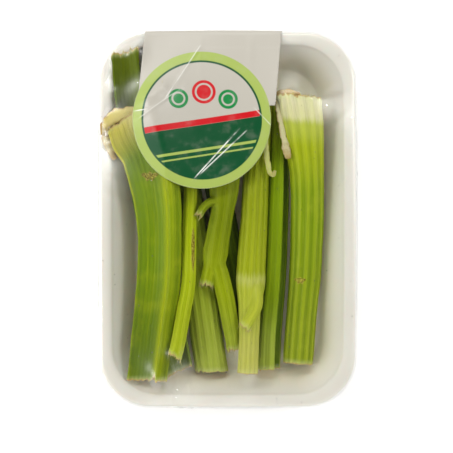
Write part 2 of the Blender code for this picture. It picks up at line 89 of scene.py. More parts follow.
class Graph:
    """Adds and joins nodes in one shader tree."""

    def __init__(self, tree: NodeTree) -> None:
        """Takes the tree that the nodes go into."""
        self.tree = tree

    def add(self, kind: str, **settings: object) -> Node:
        """Adds a node.

        Args:
            kind: The node's type without its ShaderNode prefix.
            **settings: Properties to set on it.

        Returns:
            The new node.
        """
        node = self.tree.nodes.new(f"ShaderNode{kind}")
        for name, value in settings.items():
            setattr(node, name, value)
        return node

    def put(self, socket: NodeSocket, value: object) -> None:
        """Feeds an input from another socket, or sets it to a plain value.

        Args:
            socket: The input.
            value: The other socket or the value.
        """
        if isinstance(value, NodeSocket):
            self.tree.links.new(value, socket)
        else:
            socket.default_value = value

    def fill(self, node: Node, values: dict[str, object]) -> Node:
        """Feeds several inputs of a node.

        Args:
            node: The node.
            values: Sockets or plain values by the inputs' names.

        Returns:
            The same node.
        """
        for name, value in values.items():
            self.put(node.inputs[name], value)
        return node

    def math(self, operation: str, *values: object) -> NodeSocket:
        """Adds a Math node.

        Args:
            operation: The node's operation.
            *values: Sockets or numbers for its inputs.

        Returns:
            Its output.
        """
        node = self.add("Math", operation=operation)
        for socket, value in zip(node.inputs, values):
            self.put(socket, value)
        return node.outputs[0]

    def times(self, first: object, second: object) -> NodeSocket:
        """Two numbers multiplied."""
        return self.math("MULTIPLY", first, second)

    def times_plus(self, first: object, second: object, third: object) -> NodeSocket:
        """Two numbers multiplied, with a third added."""
        return self.math("MULTIPLY_ADD", first, second, third)

    def step(self, value: object, low: float, high: float) -> NodeSocket:
        """A smooth rise from 0 to 1, or a fall where low is the larger.

        Args:
            value: The number that is read.
            low: Where the result is 0.
            high: Where it is 1.

        Returns:
            The result.
        """
        falling = low > high
        return self.fill(self.add("MapRange", interpolation_type="SMOOTHSTEP"), {
            "Value": value, "From Min": min(low, high), "From Max": max(low, high),
            "To Min": float(falling), "To Max": float(not falling),
        }).outputs["Result"]

    def mix(self, share: object, first: object, second: object, blend: str = "MIX") -> NodeSocket:
        """Mixes two colours.

        Args:
            share: How much of the second shows.
            first: Colour or socket below.
            second: Colour or socket on top.
            blend: The Mix node's blend type.

        Returns:
            The mixed colour.
        """
        node = self.add("Mix", data_type="RGBA", blend_type=blend)
        factor, colour_below, colour_above, mixed = 0, 6, 7, 2
        self.put(node.inputs[factor], share)
        self.put(node.inputs[colour_below], first)
        self.put(node.inputs[colour_above], second)
        return node.outputs[mixed]

    def ramp(self, place: object, stops: Stops) -> NodeSocket:
        """A colour that runs through stops.

        Args:
            place: Where along them it is read, from 0 to 1.
            stops: The stops in order.

        Returns:
            The colour.
        """
        node = self.add("ValToRGB")
        node.color_ramp.interpolation = "EASE"
        elements = node.color_ramp.elements
        while len(elements) < len(stops):
            elements.new(1.0)
        for element, (position, colour) in zip(elements, stops):
            element.position = position
            element.color = colour
        self.put(node.inputs[0], place)
        return node.outputs[0]

    def attribute(self, name: str) -> NodeSocket:
        """A number stored on the mesh."""
        return self.add("Attribute", attribute_name=name).outputs["Fac"]

    def stretched(self, vector: NodeSocket, scale: Sequence[float]) -> NodeSocket:
        """A coordinate scaled along each axis.

        Args:
            vector: The coordinate.
            scale: The three scales.

        Returns:
            The scaled coordinate.
        """
        return self.fill(self.add("Mapping"), {"Vector": vector, "Scale": tuple(scale)}).outputs[0]

    def axes(self, vector: NodeSocket) -> Sequence[NodeSocket]:
        """The three parts of a coordinate."""
        return self.fill(self.add("SeparateXYZ"), {"Vector": vector}).outputs

    def noise(
        self, vector: object, scale: float = 1.0, detail: float = 3.0, rough: float = 0.5
    ) -> NodeSocket:
        """Noise between 0 and 1.

        Args:
            vector: Coordinate that it is read at.
            scale: How fine it is.
            detail: How many finer layers it has.
            rough: How strongly they show.

        Returns:
            The noise.
        """
        values = {"Vector": vector, "Scale": scale, "Detail": detail, "Roughness": rough}
        return self.fill(self.add("TexNoise"), values).outputs["Fac"]

    def bump(self, height: object, strength: float, distance: float) -> NodeSocket:
        """A normal bent by a height.

        Args:
            height: The height, 1 being a full distance.
            strength: How much of the bend shows.
            distance: The distance in metres.

        Returns:
            The normal.
        """
        values = {"Strength": strength, "Distance": distance, "Height": height}
        return self.fill(self.add("Bump"), values).outputs["Normal"]


def blank_material(name: str) -> tuple[Material, Graph, Node]:
    """Makes a material with only its Principled shader.

    Args:
        name: The material's name.

    Returns:
        The material, the graph to add to, and the shader node.
    """
    material = bpy.data.materials.new(name)
    material.use_nodes = True
    return material, Graph(material.node_tree), material.node_tree.nodes["Principled BSDF"]


def node_group(
    name: str, inputs: dict[str, object], outputs: Sequence[str]
) -> tuple[NodeTree, Graph, Node, Node]:
    """Starts a shader node group.

    Args:
        name: The group's name.
        inputs: Each input's name with its default number, or with None for a vector.
        outputs: The names of its outputs, each a number.

    Returns:
        The group, its graph, its input node and its output node.
    """
    tree = bpy.data.node_groups.new(name, "ShaderNodeTree")
    for label, default in inputs.items():
        kind = "NodeSocketVector" if default is None else "NodeSocketFloat"
        socket = tree.interface.new_socket(label, in_out="INPUT", socket_type=kind)
        if default is not None:
            socket.default_value = default
    for label in outputs:
        tree.interface.new_socket(label, in_out="OUTPUT", socket_type="NodeSocketFloat")
    return tree, Graph(tree), tree.nodes.new("NodeGroupInput"), tree.nodes.new("NodeGroupOutput")


def strings_group() -> NodeTree:
    """The lengthwise streaks of a stalk: light strings, darker flesh between them, and their height.

    Returns:
        The group.
    """
    broad_strings, fine_strings = (0.75, 0.012, 1.0), (2.6, 0.03, 1.0)
    tree, graph, given, result = node_group(
        "celery_strings", {"Vector": None, "Offset": 0.0}, ("Light", "Dark", "Height")
    )
    moved = graph.add("VectorMath", operation="ADD")
    graph.put(moved.inputs[0], given.outputs["Vector"])
    graph.put(moved.inputs[1], given.outputs["Offset"])
    broad = graph.noise(graph.stretched(moved.outputs[0], broad_strings), detail=2.0)
    fine = graph.noise(graph.stretched(moved.outputs[0], fine_strings), rough=0.6)
    light = graph.times(graph.step(broad, 0.52, 0.72), graph.step(fine, 0.35, 0.6))
    height = graph.math("ADD", graph.times(broad, 0.6), fine)
    graph.fill(result, {"Light": light, "Dark": graph.step(fine, 0.5, 0.3), "Height": height})
    return tree


def browning_group() -> NodeTree:
    """Where a cut edge has dried: a ragged rim whose reach is given in millimetres.

    Returns:
        The group.
    """
    tree, graph, given, result = node_group(
        "dried_edge", {"Vector": None, "Distance": 10.0, "Reach": 1.0}, ("Mask",)
    )
    ragged = graph.noise(given.outputs["Vector"], scale=1100.0, detail=4.0, rough=0.65)
    reach = graph.times(given.outputs["Reach"], graph.times_plus(ragged, 3.2, -0.8))
    share = graph.math("DIVIDE", given.outputs["Distance"], graph.math("MAXIMUM", reach, 0.05))
    graph.put(result.inputs["Mask"], graph.step(share, 1.0, 0.25))
    return tree


@dataclass(frozen=True)
class CeleryFinish:
    """The look of one stalk.

    Attributes:
        name: The material's name.
        stops: Colours of its back from the root end, 0, to the leaf end, 1.
        channel: Colour of the inside of its channel, on some stalks darkened by painted shade.
        rib: Colour that the ribs lean to, and that the painted highlight on the channel's margins takes.
        rib_share: How strongly they do.
        groove: How much painted shade darkens the grooves between them.
        dimming: How much painted shade darkens the channel towards the leaf end.
        string: How strongly the light strings show.
        flesh: How strongly the darker flesh between the strings shows.
        dried: Colour of dried edges.
        reach: How far drying reaches in from a cut, in millimetres.
        offset: Moves its patterns, so that no two stalks are alike.
    """

    name: str
    stops: Stops
    channel: Colour
    rib: Colour
    rib_share: float = 0.4
    groove: float = 0.2
    dimming: float = 0.0
    string: float = 0.32
    flesh: float = 0.42
    dried: Colour = paint(168, 128, 70)
    reach: float = 0.8
    offset: float = 0.0

    def material(self, strings: NodeTree, browning: NodeTree) -> Material:
        """Builds the material.

        Args:
            strings: Group of lengthwise streaks.
            browning: Group of dried edges.

        Returns:
            The material.
        """
        material, graph, shader = blank_material(self.name)
        lengthwise = graph.add("UVMap", uv_map="lengthwise").outputs[0]
        place = graph.add("TexCoord").outputs["Object"]
        streaks = graph.fill(graph.add("Group", node_tree=strings), {
            "Vector": lengthwise, "Offset": self.offset,
        })
        flesh = graph.noise(place, scale=1600.0)
        blotches = graph.noise(place, scale=70.0, detail=4.0)
        skin = self.skin(graph, streaks, blotches)
        pale = graph.times(graph.step(graph.attribute("cut"), 3.5, 0.0), 0.45)
        skin = graph.mix(pale, skin, paint(205, 208, 140))
        pith = graph.mix(flesh, paint(178, 186, 110), paint(222, 222, 176))
        skin = graph.mix(graph.attribute("cap"), skin, pith)
        edge = graph.fill(graph.add("Group", node_tree=browning), {
            "Vector": place, "Distance": graph.attribute("cut"), "Reach": self.reach,
        })
        dried = graph.mix(flesh, self.dried, paint(205, 178, 120))
        skin = graph.mix(graph.times(edge.outputs["Mask"], 0.8), skin, dried)
        scabby = graph.step(graph.times_plus(flesh, 0.4, graph.attribute("scab")), 0.45, 0.75)
        crust = graph.mix(graph.step(flesh, 0.4, 0.62), paint(94, 78, 2), paint(196, 186, 74))
        rough = graph.times_plus(graph.math("MAXIMUM", scabby, graph.attribute("cap")), 0.35, 0.34)
        relief = graph.math("ADD", streaks.outputs["Height"], graph.times(flesh, 0.15))
        graph.fill(shader, {
            "Base Color": graph.mix(scabby, skin, crust),
            "Roughness": graph.times_plus(blotches, 0.12, rough),
            "Normal": graph.bump(relief, 0.5, 0.25 * MM),
            "Specular IOR Level": 0.1,
            "Subsurface Weight": 0.1,
            "Subsurface Radius": (0.6, 1.0, 0.25),
            "Subsurface Scale": 0.002,
        })
        return material

    def skin(self, graph: Graph, streaks: Node, blotches: NodeSocket) -> NodeSocket:
        """The colour of the unhurt skin: back and channel, ribs, strings and blotches, with painted shade in
        grooves and channel and a painted highlight on the channel's margins.

        Args:
            graph: The material's graph.
            streaks: The placed group of lengthwise streaks.
            blotches: Large soft noise.

        Returns:
            The colour.
        """
        share, rib = graph.attribute("share"), graph.attribute("rib")
        channel = graph.attribute("channel")
        drawn_out = graph.times_plus(streaks.outputs["Height"], 0.06, -0.048)
        back = graph.ramp(graph.math("ADD", share, drawn_out), self.stops)
        inside = graph.mix(graph.step(share, 0.0, 0.16), self.stops[0][1], self.channel)
        # Painted shade: the inside of the channel darkens towards the leaf end.
        channel_shade = graph.times(graph.step(share, 0.5, 0.95), self.dimming)
        inside = graph.mix(channel_shade, inside, paint(150, 150, 140), "MULTIPLY")
        skin = graph.mix(channel, back, inside)
        # Painted highlight: the channel's margins that face up turn to the rib colour.
        skin = graph.mix(graph.times(graph.attribute("margin_highlight"), self.rib_share * 1.5), skin, self.rib)
        skin = graph.mix(graph.times(rib, self.rib_share), skin, graph.mix(0.5, self.rib, back))
        on_back = graph.math("SUBTRACT", 1.0, channel)
        # Painted shade in the grooves between the ribs on the back.
        groove = graph.times(graph.times(graph.math("SUBTRACT", 1.0, rib), self.groove), on_back)
        skin = graph.mix(groove, skin, paint(168, 178, 100), "MULTIPLY")
        skin = graph.mix(graph.times(streaks.outputs["Light"], self.string), skin, self.rib)
        between = graph.times(streaks.outputs["Dark"], self.flesh)
        skin = graph.mix(between, skin, paint(176, 186, 110), "MULTIPLY")
        return graph.mix(graph.times(graph.step(blotches, 0.5, 0.75), 0.25), skin, self.rib)


@dataclass(frozen=True)
class FoamFinish:
    """Warm white expanded foam with its beads just showing, and painted shade low down in the tray.

    Attributes:
        name: The material's name.
        bright: Its lightest colour.
        shaded: Its other colour, in soft clouds.
        floor: Painted shade with a warm bounce from the stalks, laid over its floor and lower walls.
        bead: Size of its beads, in millimetres.
    """

    name: str = "foam_beads"
    bright: Colour = paint(227, 225, 215)
    shaded: Colour = paint(218, 215, 202)
    floor: Colour = paint(222, 216, 184)
    bead: float = 2.4

    def material(self) -> Material:
        """Builds the material.

        Returns:
            The material.
        """
        material, graph, shader = blank_material(self.name)
        place = graph.add("TexCoord").outputs["Object"]
        beads = graph.add("TexVoronoi", feature="DISTANCE_TO_EDGE")
        graph.fill(beads, {"Vector": place, "Scale": 1.0 / (self.bead * MM)})
        joints = graph.step(beads.outputs["Distance"], 0.09, 0.0)
        clouds = graph.noise(place, scale=45.0, detail=5.0)
        colour = graph.mix(clouds, self.shaded, self.bright)
        colour = graph.mix(graph.times(joints, 0.12), colour, paint(205, 200, 185))
        # Painted shade and bounce light: the floor and lower walls turn darker and warmer than the rim.
        low = graph.step(graph.axes(place)[2], 19.0 * MM, 6.0 * MM)
        colour = graph.mix(graph.times(low, 0.7), colour, self.floor)
        grain = graph.noise(place, scale=900.0, detail=2.0)
        height = graph.times_plus(joints, -0.5, graph.times(grain, 0.25))
        graph.fill(shader, {
            "Base Color": colour,
            "Roughness": graph.times_plus(clouds, 0.15, 0.55),
            "Normal": graph.bump(height, 0.25, 0.15 * MM),
            "Subsurface Weight": 0.12,
            "Subsurface Scale": 0.004,
        })
        return material


@dataclass(frozen=True)
class FilmFinish:
    """Clear stretch film: nothing but its reflections shows.

    Attributes:
        name: The material's name.
        index: Refractive index that sets how strongly it mirrors.
        strength: How strongly each side mirrors, as a share of what its index gives.
        most: Most that shows of it where it is seen edge on.
        drop: Radius of the largest droplets on it, in millimetres.
        drop_pitch: How far apart they are, in millimetres.
    """

    name: str = "clear_film"
    index: float = 1.5
    strength: float = 0.55
    most: float = 0.24
    drop: float = 0.3
    drop_pitch: float = 7.0

    def material(self) -> Material:
        """Builds the material.

        Returns:
            The material.
        """
        material, graph, shader = blank_material(self.name)
        place = graph.add("TexCoord").outputs["Object"]
        fresnel = graph.add("Fresnel")
        graph.put(fresnel.inputs["IOR"], self.index)
        smears = graph.noise(graph.stretched(place, (60.0, 18.0, 60.0)), detail=4.0, rough=0.6)
        shown = graph.math("MINIMUM", graph.times(fresnel.outputs[0], self.strength), self.most)
        drops = graph.add("TexVoronoi", feature="F1", voronoi_dimensions="2D")
        graph.fill(drops, {"Vector": place, "Scale": 1.0 / (self.drop_pitch * MM)})
        kept = graph.add("SeparateColor")
        graph.put(kept.inputs[0], drops.outputs["Color"])
        size = graph.times(graph.step(kept.outputs[0], 0.72, 0.95), self.drop / self.drop_pitch)
        drop = graph.math("LESS_THAN", drops.outputs["Distance"], size)
        graph.fill(shader, {
            "Alpha": graph.math("MAXIMUM", shown, graph.times(drop, 0.45)),
            "Base Color": paint(250, 250, 248),
            "Metallic": 1.0,
            "Roughness": graph.times_plus(smears, 0.2, 0.15),
        })
        return material


@dataclass(frozen=True)
class StickerFinish:
    """Coated paper printed with a plain round emblem of bands and dots.

    Attributes:
        name: The material's name.
        centre: Middle of the emblem, in millimetres.
        radius: Outer radius of its pale border, in millimetres.
        border: Width of the pale border, in millimetres.
        line: Width of the dark line inside it, in millimetres.
        blur: Half the width over which one ink runs into the next, in millimetres.
        creases: Creases along which the ink has cracked and the fold carries a painted highlight.
        paper: Colour of the bare coated face.
        pale: Colour of the border.
        deep: Colour of the dark line and the lower field.
        leaf: Colour of the side dots.
        accent: Colour of the middle dot and the upper band.
        bare_paper_and_highlight: Colour of the paper under the coating where creases show it, which also
            paints the highlight on each fold.
    """

    name: str
    centre: tuple[float, float]
    radius: float
    border: float = 5.0
    line: float = 1.1
    blur: float = 0.25
    creases: tuple["Crease", ...] = ()
    paper: Colour = paint(180, 175, 163)
    pale: Colour = paint(156, 174, 84)
    deep: Colour = paint(0, 72, 36)
    leaf: Colour = paint(8, 124, 58)
    accent: Colour = paint(192, 14, 24)
    bare_paper_and_highlight: Colour = paint(236, 236, 228)

    def material(self) -> Material:
        """Builds the material.

        Returns:
            The material.
        """
        material, graph, shader = blank_material(self.name)
        place = graph.add("TexCoord").outputs["Object"]
        axes = graph.axes(place)
        x = graph.times_plus(axes[0], 1.0 / MM, -self.centre[0])
        y = graph.times_plus(axes[1], 1.0 / MM, -self.centre[1])
        radius = self.distance(graph, x, y, (0.0, 0.0))
        field = self.radius - self.border
        ink = graph.mix(self.disc(graph, radius, field - self.line), self.deep, self.emblem(graph, x, y))
        ink = graph.mix(self.disc(graph, radius, field), self.pale, ink)
        ink = graph.mix(self.disc(graph, radius, self.radius), self.paper, ink)
        worn = graph.noise(place, scale=160.0, detail=5.0)
        ink = graph.mix(graph.times(graph.step(worn, 0.5, 0.8), 0.12), ink, self.paper)
        flaked = graph.step(worn, 0.25, 0.6)
        # Along each crease the ink gives way to pale paper: cracked ink, and a painted highlight on the
        # fold.
        for crease in self.creases:
            wear_and_highlight = graph.times(self.cracks_and_highlight(graph, axes, crease), flaked)
            ink = graph.mix(wear_and_highlight, ink, self.bare_paper_and_highlight)
        fibres = graph.noise(place, scale=1500.0)
        graph.fill(shader, {
            "Base Color": ink,
            "Roughness": graph.times_plus(worn, 0.2, 0.28),
            "Normal": graph.bump(fibres, 0.08, 0.1 * MM),
        })
        return material

    def emblem(self, graph: Graph, x: NodeSocket, y: NodeSocket) -> NodeSocket:
        """The bands and ringed dots inside the dark line.

        Args:
            graph: The material's graph.
            x: Place to the right of the middle, in millimetres.
            y: Place above it.

        Returns:
            The colour.
        """
        bands = ((-3.0, 0.4, self.accent), (-17.5, -16.0, self.pale), (-20.5, -19.6, self.pale))
        spots = (
            ((-13.0, 11.5), 5.4, self.leaf), ((1.0, 15.5), 6.6, self.accent), ((14.5, 11.5), 5.4, self.leaf),
        )
        ring, gap = 1.6, 1.0
        tilted = graph.times_plus(x, -0.16, y)
        lower = self.disc(graph, tilted, bands[0][0])
        colour = graph.mix(lower, self.paper, self.deep)
        for low, high, ink in bands:
            above = graph.step(tilted, low - self.blur, low + self.blur)
            colour = graph.mix(graph.times(above, self.disc(graph, tilted, high)), colour, ink)
        for spot, size, ink in spots:
            away = self.distance(graph, x, y, spot)
            colour = graph.mix(self.disc(graph, away, size), colour, ink)
            colour = graph.mix(self.disc(graph, away, size - ring), colour, self.paper)
            colour = graph.mix(self.disc(graph, away, size - ring - gap), colour, ink)
        return colour

    def disc(self, graph: Graph, distance: NodeSocket, edge: float) -> NodeSocket:
        """1 where a distance is less than the edge's, with the printed edge's slight blur."""
        return graph.step(distance, edge + self.blur, edge - self.blur)

    @staticmethod
    def cracks_and_highlight(graph: Graph, axes: Sequence[NodeSocket], crease: "Crease") -> NodeSocket:
        """Where the ink is gone along a crease, whose white also paints the highlight on the fold.

        Args:
            graph: The material's graph.
            axes: The parts of the object coordinate, in metres.
            crease: The crease.

        Returns:
            A number from 0 up to the crease's own share.
        """
        (x0, y0), (x1, y1) = crease.start, crease.end
        length = math.hypot(x1 - x0, y1 - y0)
        line = ((x1 - x0) / length, (y1 - y0) / length)
        dx = graph.times_plus(axes[0], 1.0 / MM, -x0)
        dy = graph.times_plus(axes[1], 1.0 / MM, -y0)
        run = graph.times_plus(dx, line[0], graph.times(dy, line[1]))
        off = graph.math("ABSOLUTE", graph.times_plus(dx, -line[1], graph.times(dy, line[0])))
        ends = graph.times(graph.step(run, -1.0, 3.0), graph.step(run, length + 1.0, length - 3.0))
        return graph.times(graph.times(ends, graph.step(off, 0.5, 0.15)), crease.crack_and_highlight)

    @staticmethod
    def distance(graph: Graph, x: NodeSocket, y: NodeSocket, spot: tuple[float, float]) -> NodeSocket:
        """Distance on the plan from a spot.

        Args:
            graph: The material's graph.
            x: Place to the right of the middle, in millimetres.
            y: Place above it.
            spot: The spot's own place.

        Returns:
            The distance in millimetres.
        """
        dx = graph.math("SUBTRACT", x, spot[0])
        dy = graph.math("SUBTRACT", y, spot[1])
        return graph.math("SQRT", graph.math("ADD", graph.times(dx, dx), graph.times(dy, dy)))


def ripple(along: np.ndarray, wavelength: float, seed: int) -> np.ndarray:
    """A smooth uneven line between about -1 and 1.

    Args:
        along: Places at which to read it.
        wavelength: Its typical wavelength in the same unit.
        seed: Picks one line of many.

    Returns:
        Its height at each place.
    """
    phases = np.random.default_rng(seed).random(4)
    spread = [wavelength * (0.6 + 0.45 * k) for k in range(4)]
    return sum(np.sin(2 * math.pi * (along / own + phase)) for own, phase in zip(spread, phases)) / 2.6


def smooth_rows(stations: Sequence[Sequence[float]], count: int) -> np.ndarray:
    """Stations resampled at equal steps along a smooth curve through them.

    Args:
        stations: Rows of numbers whose first two are the place on the plan.
        count: How many rows to return.

    Returns:
        One row of numbers for each step.
    """
    rows = np.array(stations, float)
    padded = np.vstack([2 * rows[0] - rows[1], rows, 2 * rows[-1] - rows[-2]])
    run = np.concatenate([[0.0], np.cumsum(np.hypot(*np.diff(rows[:, :2], axis=0).T))])
    result = []
    for along in np.linspace(0.0, run[-1], count):
        k = min(int(np.searchsorted(run, along, side="right")) - 1, len(rows) - 2)
        t = (along - run[k]) / (run[k + 1] - run[k])
        p0, p1, p2, p3 = padded[k:k + 4]
        result.append(
            0.5 * (2 * p1 + (p2 - p0) * t + (2 * p0 - 5 * p1 + 4 * p2 - p3) * t ** 2
                   + (3 * p1 - p0 - 3 * p2 + p3) * t ** 3)
        )
    return np.array(result)


def finished(name: str, bm: bmesh.types.BMesh, material: Material) -> Object:
    """Turns a bmesh into a shaded piece that rides on the pack.

    Args:
        name: The piece's name.
        bm: Its bmesh, which is freed.
        material: Its finish.

    Returns:
        The piece.
    """
    mesh = bpy.data.meshes.new(name)
    bm.to_mesh(mesh)
    bm.free()
    mesh.materials.append(material)
    mesh.shade_smooth()
    mesh.set_sharp_from_angle(angle=math.radians(SHARPEST))
    obj = bpy.data.objects.new(name, mesh)
    bpy.context.scene.collection.objects.link(obj)
    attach(obj, BODY)
    return obj


def coarser() -> int:
    """How many times larger the faces are made; 1 keeps them at full fineness."""
    return 1


def thickened(obj: Object, thickness: float, offset: float) -> None:
    """Gives a sheet a Solidify modifier.

    Args:
        obj: The sheet.
        thickness: Its thickness in millimetres.
        offset: 1 to grow outwards, or 0 to grow both ways.
    """
    wall = obj.modifiers.new("thickness", "SOLIDIFY")
    wall.thickness = thickness * MM
    wall.offset = offset


def applied(obj: Object) -> Object:
    """Gives a piece the mesh that its modifiers make, and removes them.

    Args:
        obj: The piece.

    Returns:
        The same piece.
    """
    bpy.context.view_layer.update()
    graph = bpy.context.evaluated_depsgraph_get()
    obj.data = bpy.data.meshes.new_from_object(obj.evaluated_get(graph))
    obj.modifiers.clear()
    return obj


def surface(obj: Object) -> BVHTree:
    """The piece as a searchable surface."""
    bpy.context.view_layer.update()
    return BVHTree.FromObject(obj, bpy.context.evaluated_depsgraph_get())


def topmost(surfaces: Sequence[BVHTree], x: float, y: float) -> float | None:
    """How high the highest of several surfaces lies.

    Args:
        surfaces: The surfaces.
        x: Place along +X in metres.
        y: Place along +Y.

    Returns:
        The height in metres, or None where the place is beside them all.
    """
    hits = [s.ray_cast(Vector((x, y, ABOVE)), DOWN)[0] for s in surfaces]
    heights = [hit.z for hit in hits if hit is not None]
    return max(heights, default=None)


class Station(NamedTuple):
    """One place along a stalk, in millimetres: its middle on the plan, the stalk's size and its lift."""

    x: float
    y: float
    width: float
    depth: float
    lift: float = 0.0


def stations(*rows: tuple[float, ...]) -> tuple[Station, ...]:
    """Rows of numbers as stations."""
    return tuple(Station(*row) for row in rows)


@dataclass(frozen=True)
class Section:
    """The form of a stalk's cross-section, ribs and all.

    Attributes:
        opening: Direction that the channel faces, in degrees, 90 being up and 270 down.
        span: How wide the channel's mouth is, in degrees of the outline.
        channel: Depth of the channel as a share of the stalk behind its mouth.
        ribs: How many ribs stand along the back.
        relief: How far they stand out, in millimetres.
        rib_steps: Points across one rib.
        channel_steps: Points across the channel.
        rounding: Passes that round the margins.
        string: Height of the fine strings, in millimetres.
    """

    opening: float
    span: float
    channel: float
    ribs: int
    relief: float
    rib_steps: int = 12
    channel_steps: int = 26
    rounding: int = 9
    string: float = 0.1

    @property
    def back(self) -> int:
        """How many steps go over the ribbed back."""
        return self.ribs * self.rib_steps

    @property
    def around(self) -> int:
        """How many points go round the outline."""
        return self.back + 1 + self.channel_steps

    def rib_heights(self) -> np.ndarray:
        """Height of the ribs round the outline, from 0 between them to 1."""
        turns = 2 * math.pi * np.arange(self.back + 1) / self.rib_steps
        return np.concatenate([(0.5 - 0.5 * np.cos(turns)) ** 0.8, np.zeros(self.channel_steps)])

    def in_channel(self) -> np.ndarray:
        """1 on the channel's points and 0 on the back's."""
        return np.concatenate([np.zeros(self.back + 1), np.ones(self.channel_steps)])

    def margin_highlights(self) -> np.ndarray:
        """The painted highlight: a light band inside each margin of the channel, as strong as that margin
        faces up.

        Returns:
            Its strength at each point round the outline, 1 being in its middle.
        """
        places = np.arange(self.around)
        inside, reach = 0.12 * self.channel_steps, 0.18 * self.channel_steps
        band = np.zeros(self.around)
        for middle, turn in ((self.back + inside, -0.5), (self.around - inside, 0.5)):
            upward = max(0.0, math.sin(math.radians(self.opening + turn * self.span)))
            band += upward * np.exp(-((places - middle) / reach) ** 2)
        return band

    def outlines(self, widths: np.ndarray, depths: np.ndarray) -> np.ndarray:
        """The closed outlines for several sizes, in millimetres.

        Args:
            widths: Width of each.
            depths: Depth of each.

        Returns:
            An array of (outline, point, across and up).
        """
        start = math.radians(self.opening + self.span / 2)
        sweep = math.radians(360.0 - self.span)
        turns = start + sweep * np.linspace(0.0, 1.0, self.back + 1)
        half = np.stack([widths, depths], axis=1)[:, None, :] / 2
        back = np.stack([np.cos(turns), np.sin(turns)], axis=1)[None] * half
        facing = math.radians(self.opening)
        inward = -np.array([math.cos(facing), math.sin(facing)])
        mouth = back[:, :1] - back[:, -1:]
        behind = ((back - back[:, -1:]) @ inward).max(axis=1)
        shares = np.arange(1, self.channel_steps + 1) / (self.channel_steps + 1)
        sunk = behind[:, None] * self.channel * np.sin(math.pi * shares) ** 0.6
        floor = back[:, -1:] + mouth * shares[None, :, None] + inward * sunk[:, :, None]
        points = np.concatenate([back, floor], axis=1)
        for _ in range(self.rounding):
            points = (np.roll(points, 1, axis=1) + 2 * points + np.roll(points, -1, axis=1)) / 4
        tangents = np.roll(points, -1, axis=1) - np.roll(points, 1, axis=1)
        normals = np.stack([tangents[:, :, 1], -tangents[:, :, 0]], axis=2)
        normals /= np.linalg.norm(normals, axis=2)[:, :, None]
        points_to_a_string = 4.0
        strings = self.string * np.cos(np.arange(self.around) * 2 * math.pi / points_to_a_string)
        return points + normals * (self.relief * self.rib_heights() + strings)[None, :, None]


CHANNEL_UP = Section(opening=90.0, span=130.0, channel=0.5, ribs=6, relief=0.35)
TURNED_LEFT = Section(
    opening=125.0, span=120.0, channel=0.55, ribs=7, relief=0.5, rib_steps=16, channel_steps=40
)
TURNED_RIGHT = Section(opening=20.0, span=80.0, channel=0.45, ribs=6, relief=0.45)
ARCHED = Section(opening=270.0, span=150.0, channel=0.42, ribs=7, relief=0.48)
STEM = Section(opening=270.0, span=70.0, channel=0.18, ribs=6, relief=0.25, channel_steps=14)
SHOOT = Section(opening=270.0, span=60.0, channel=0.12, ribs=3, relief=0.15, channel_steps=10, rounding=4)


class Cut(Enum):
    """How an end was cut, as its raggedness in millimetres, or that it grows out of another stem."""

    GROWN = 0.0
    CLEAN = 0.3
    ROUGH = 0.7
    TORN = 1.3


class Scar(NamedTuple):
    """A scab on a stalk, in millimetres: its middle on the plan, its size and how far it stands out."""

    x: float
    y: float
    across: float
    length: float
    height: float = 0.25


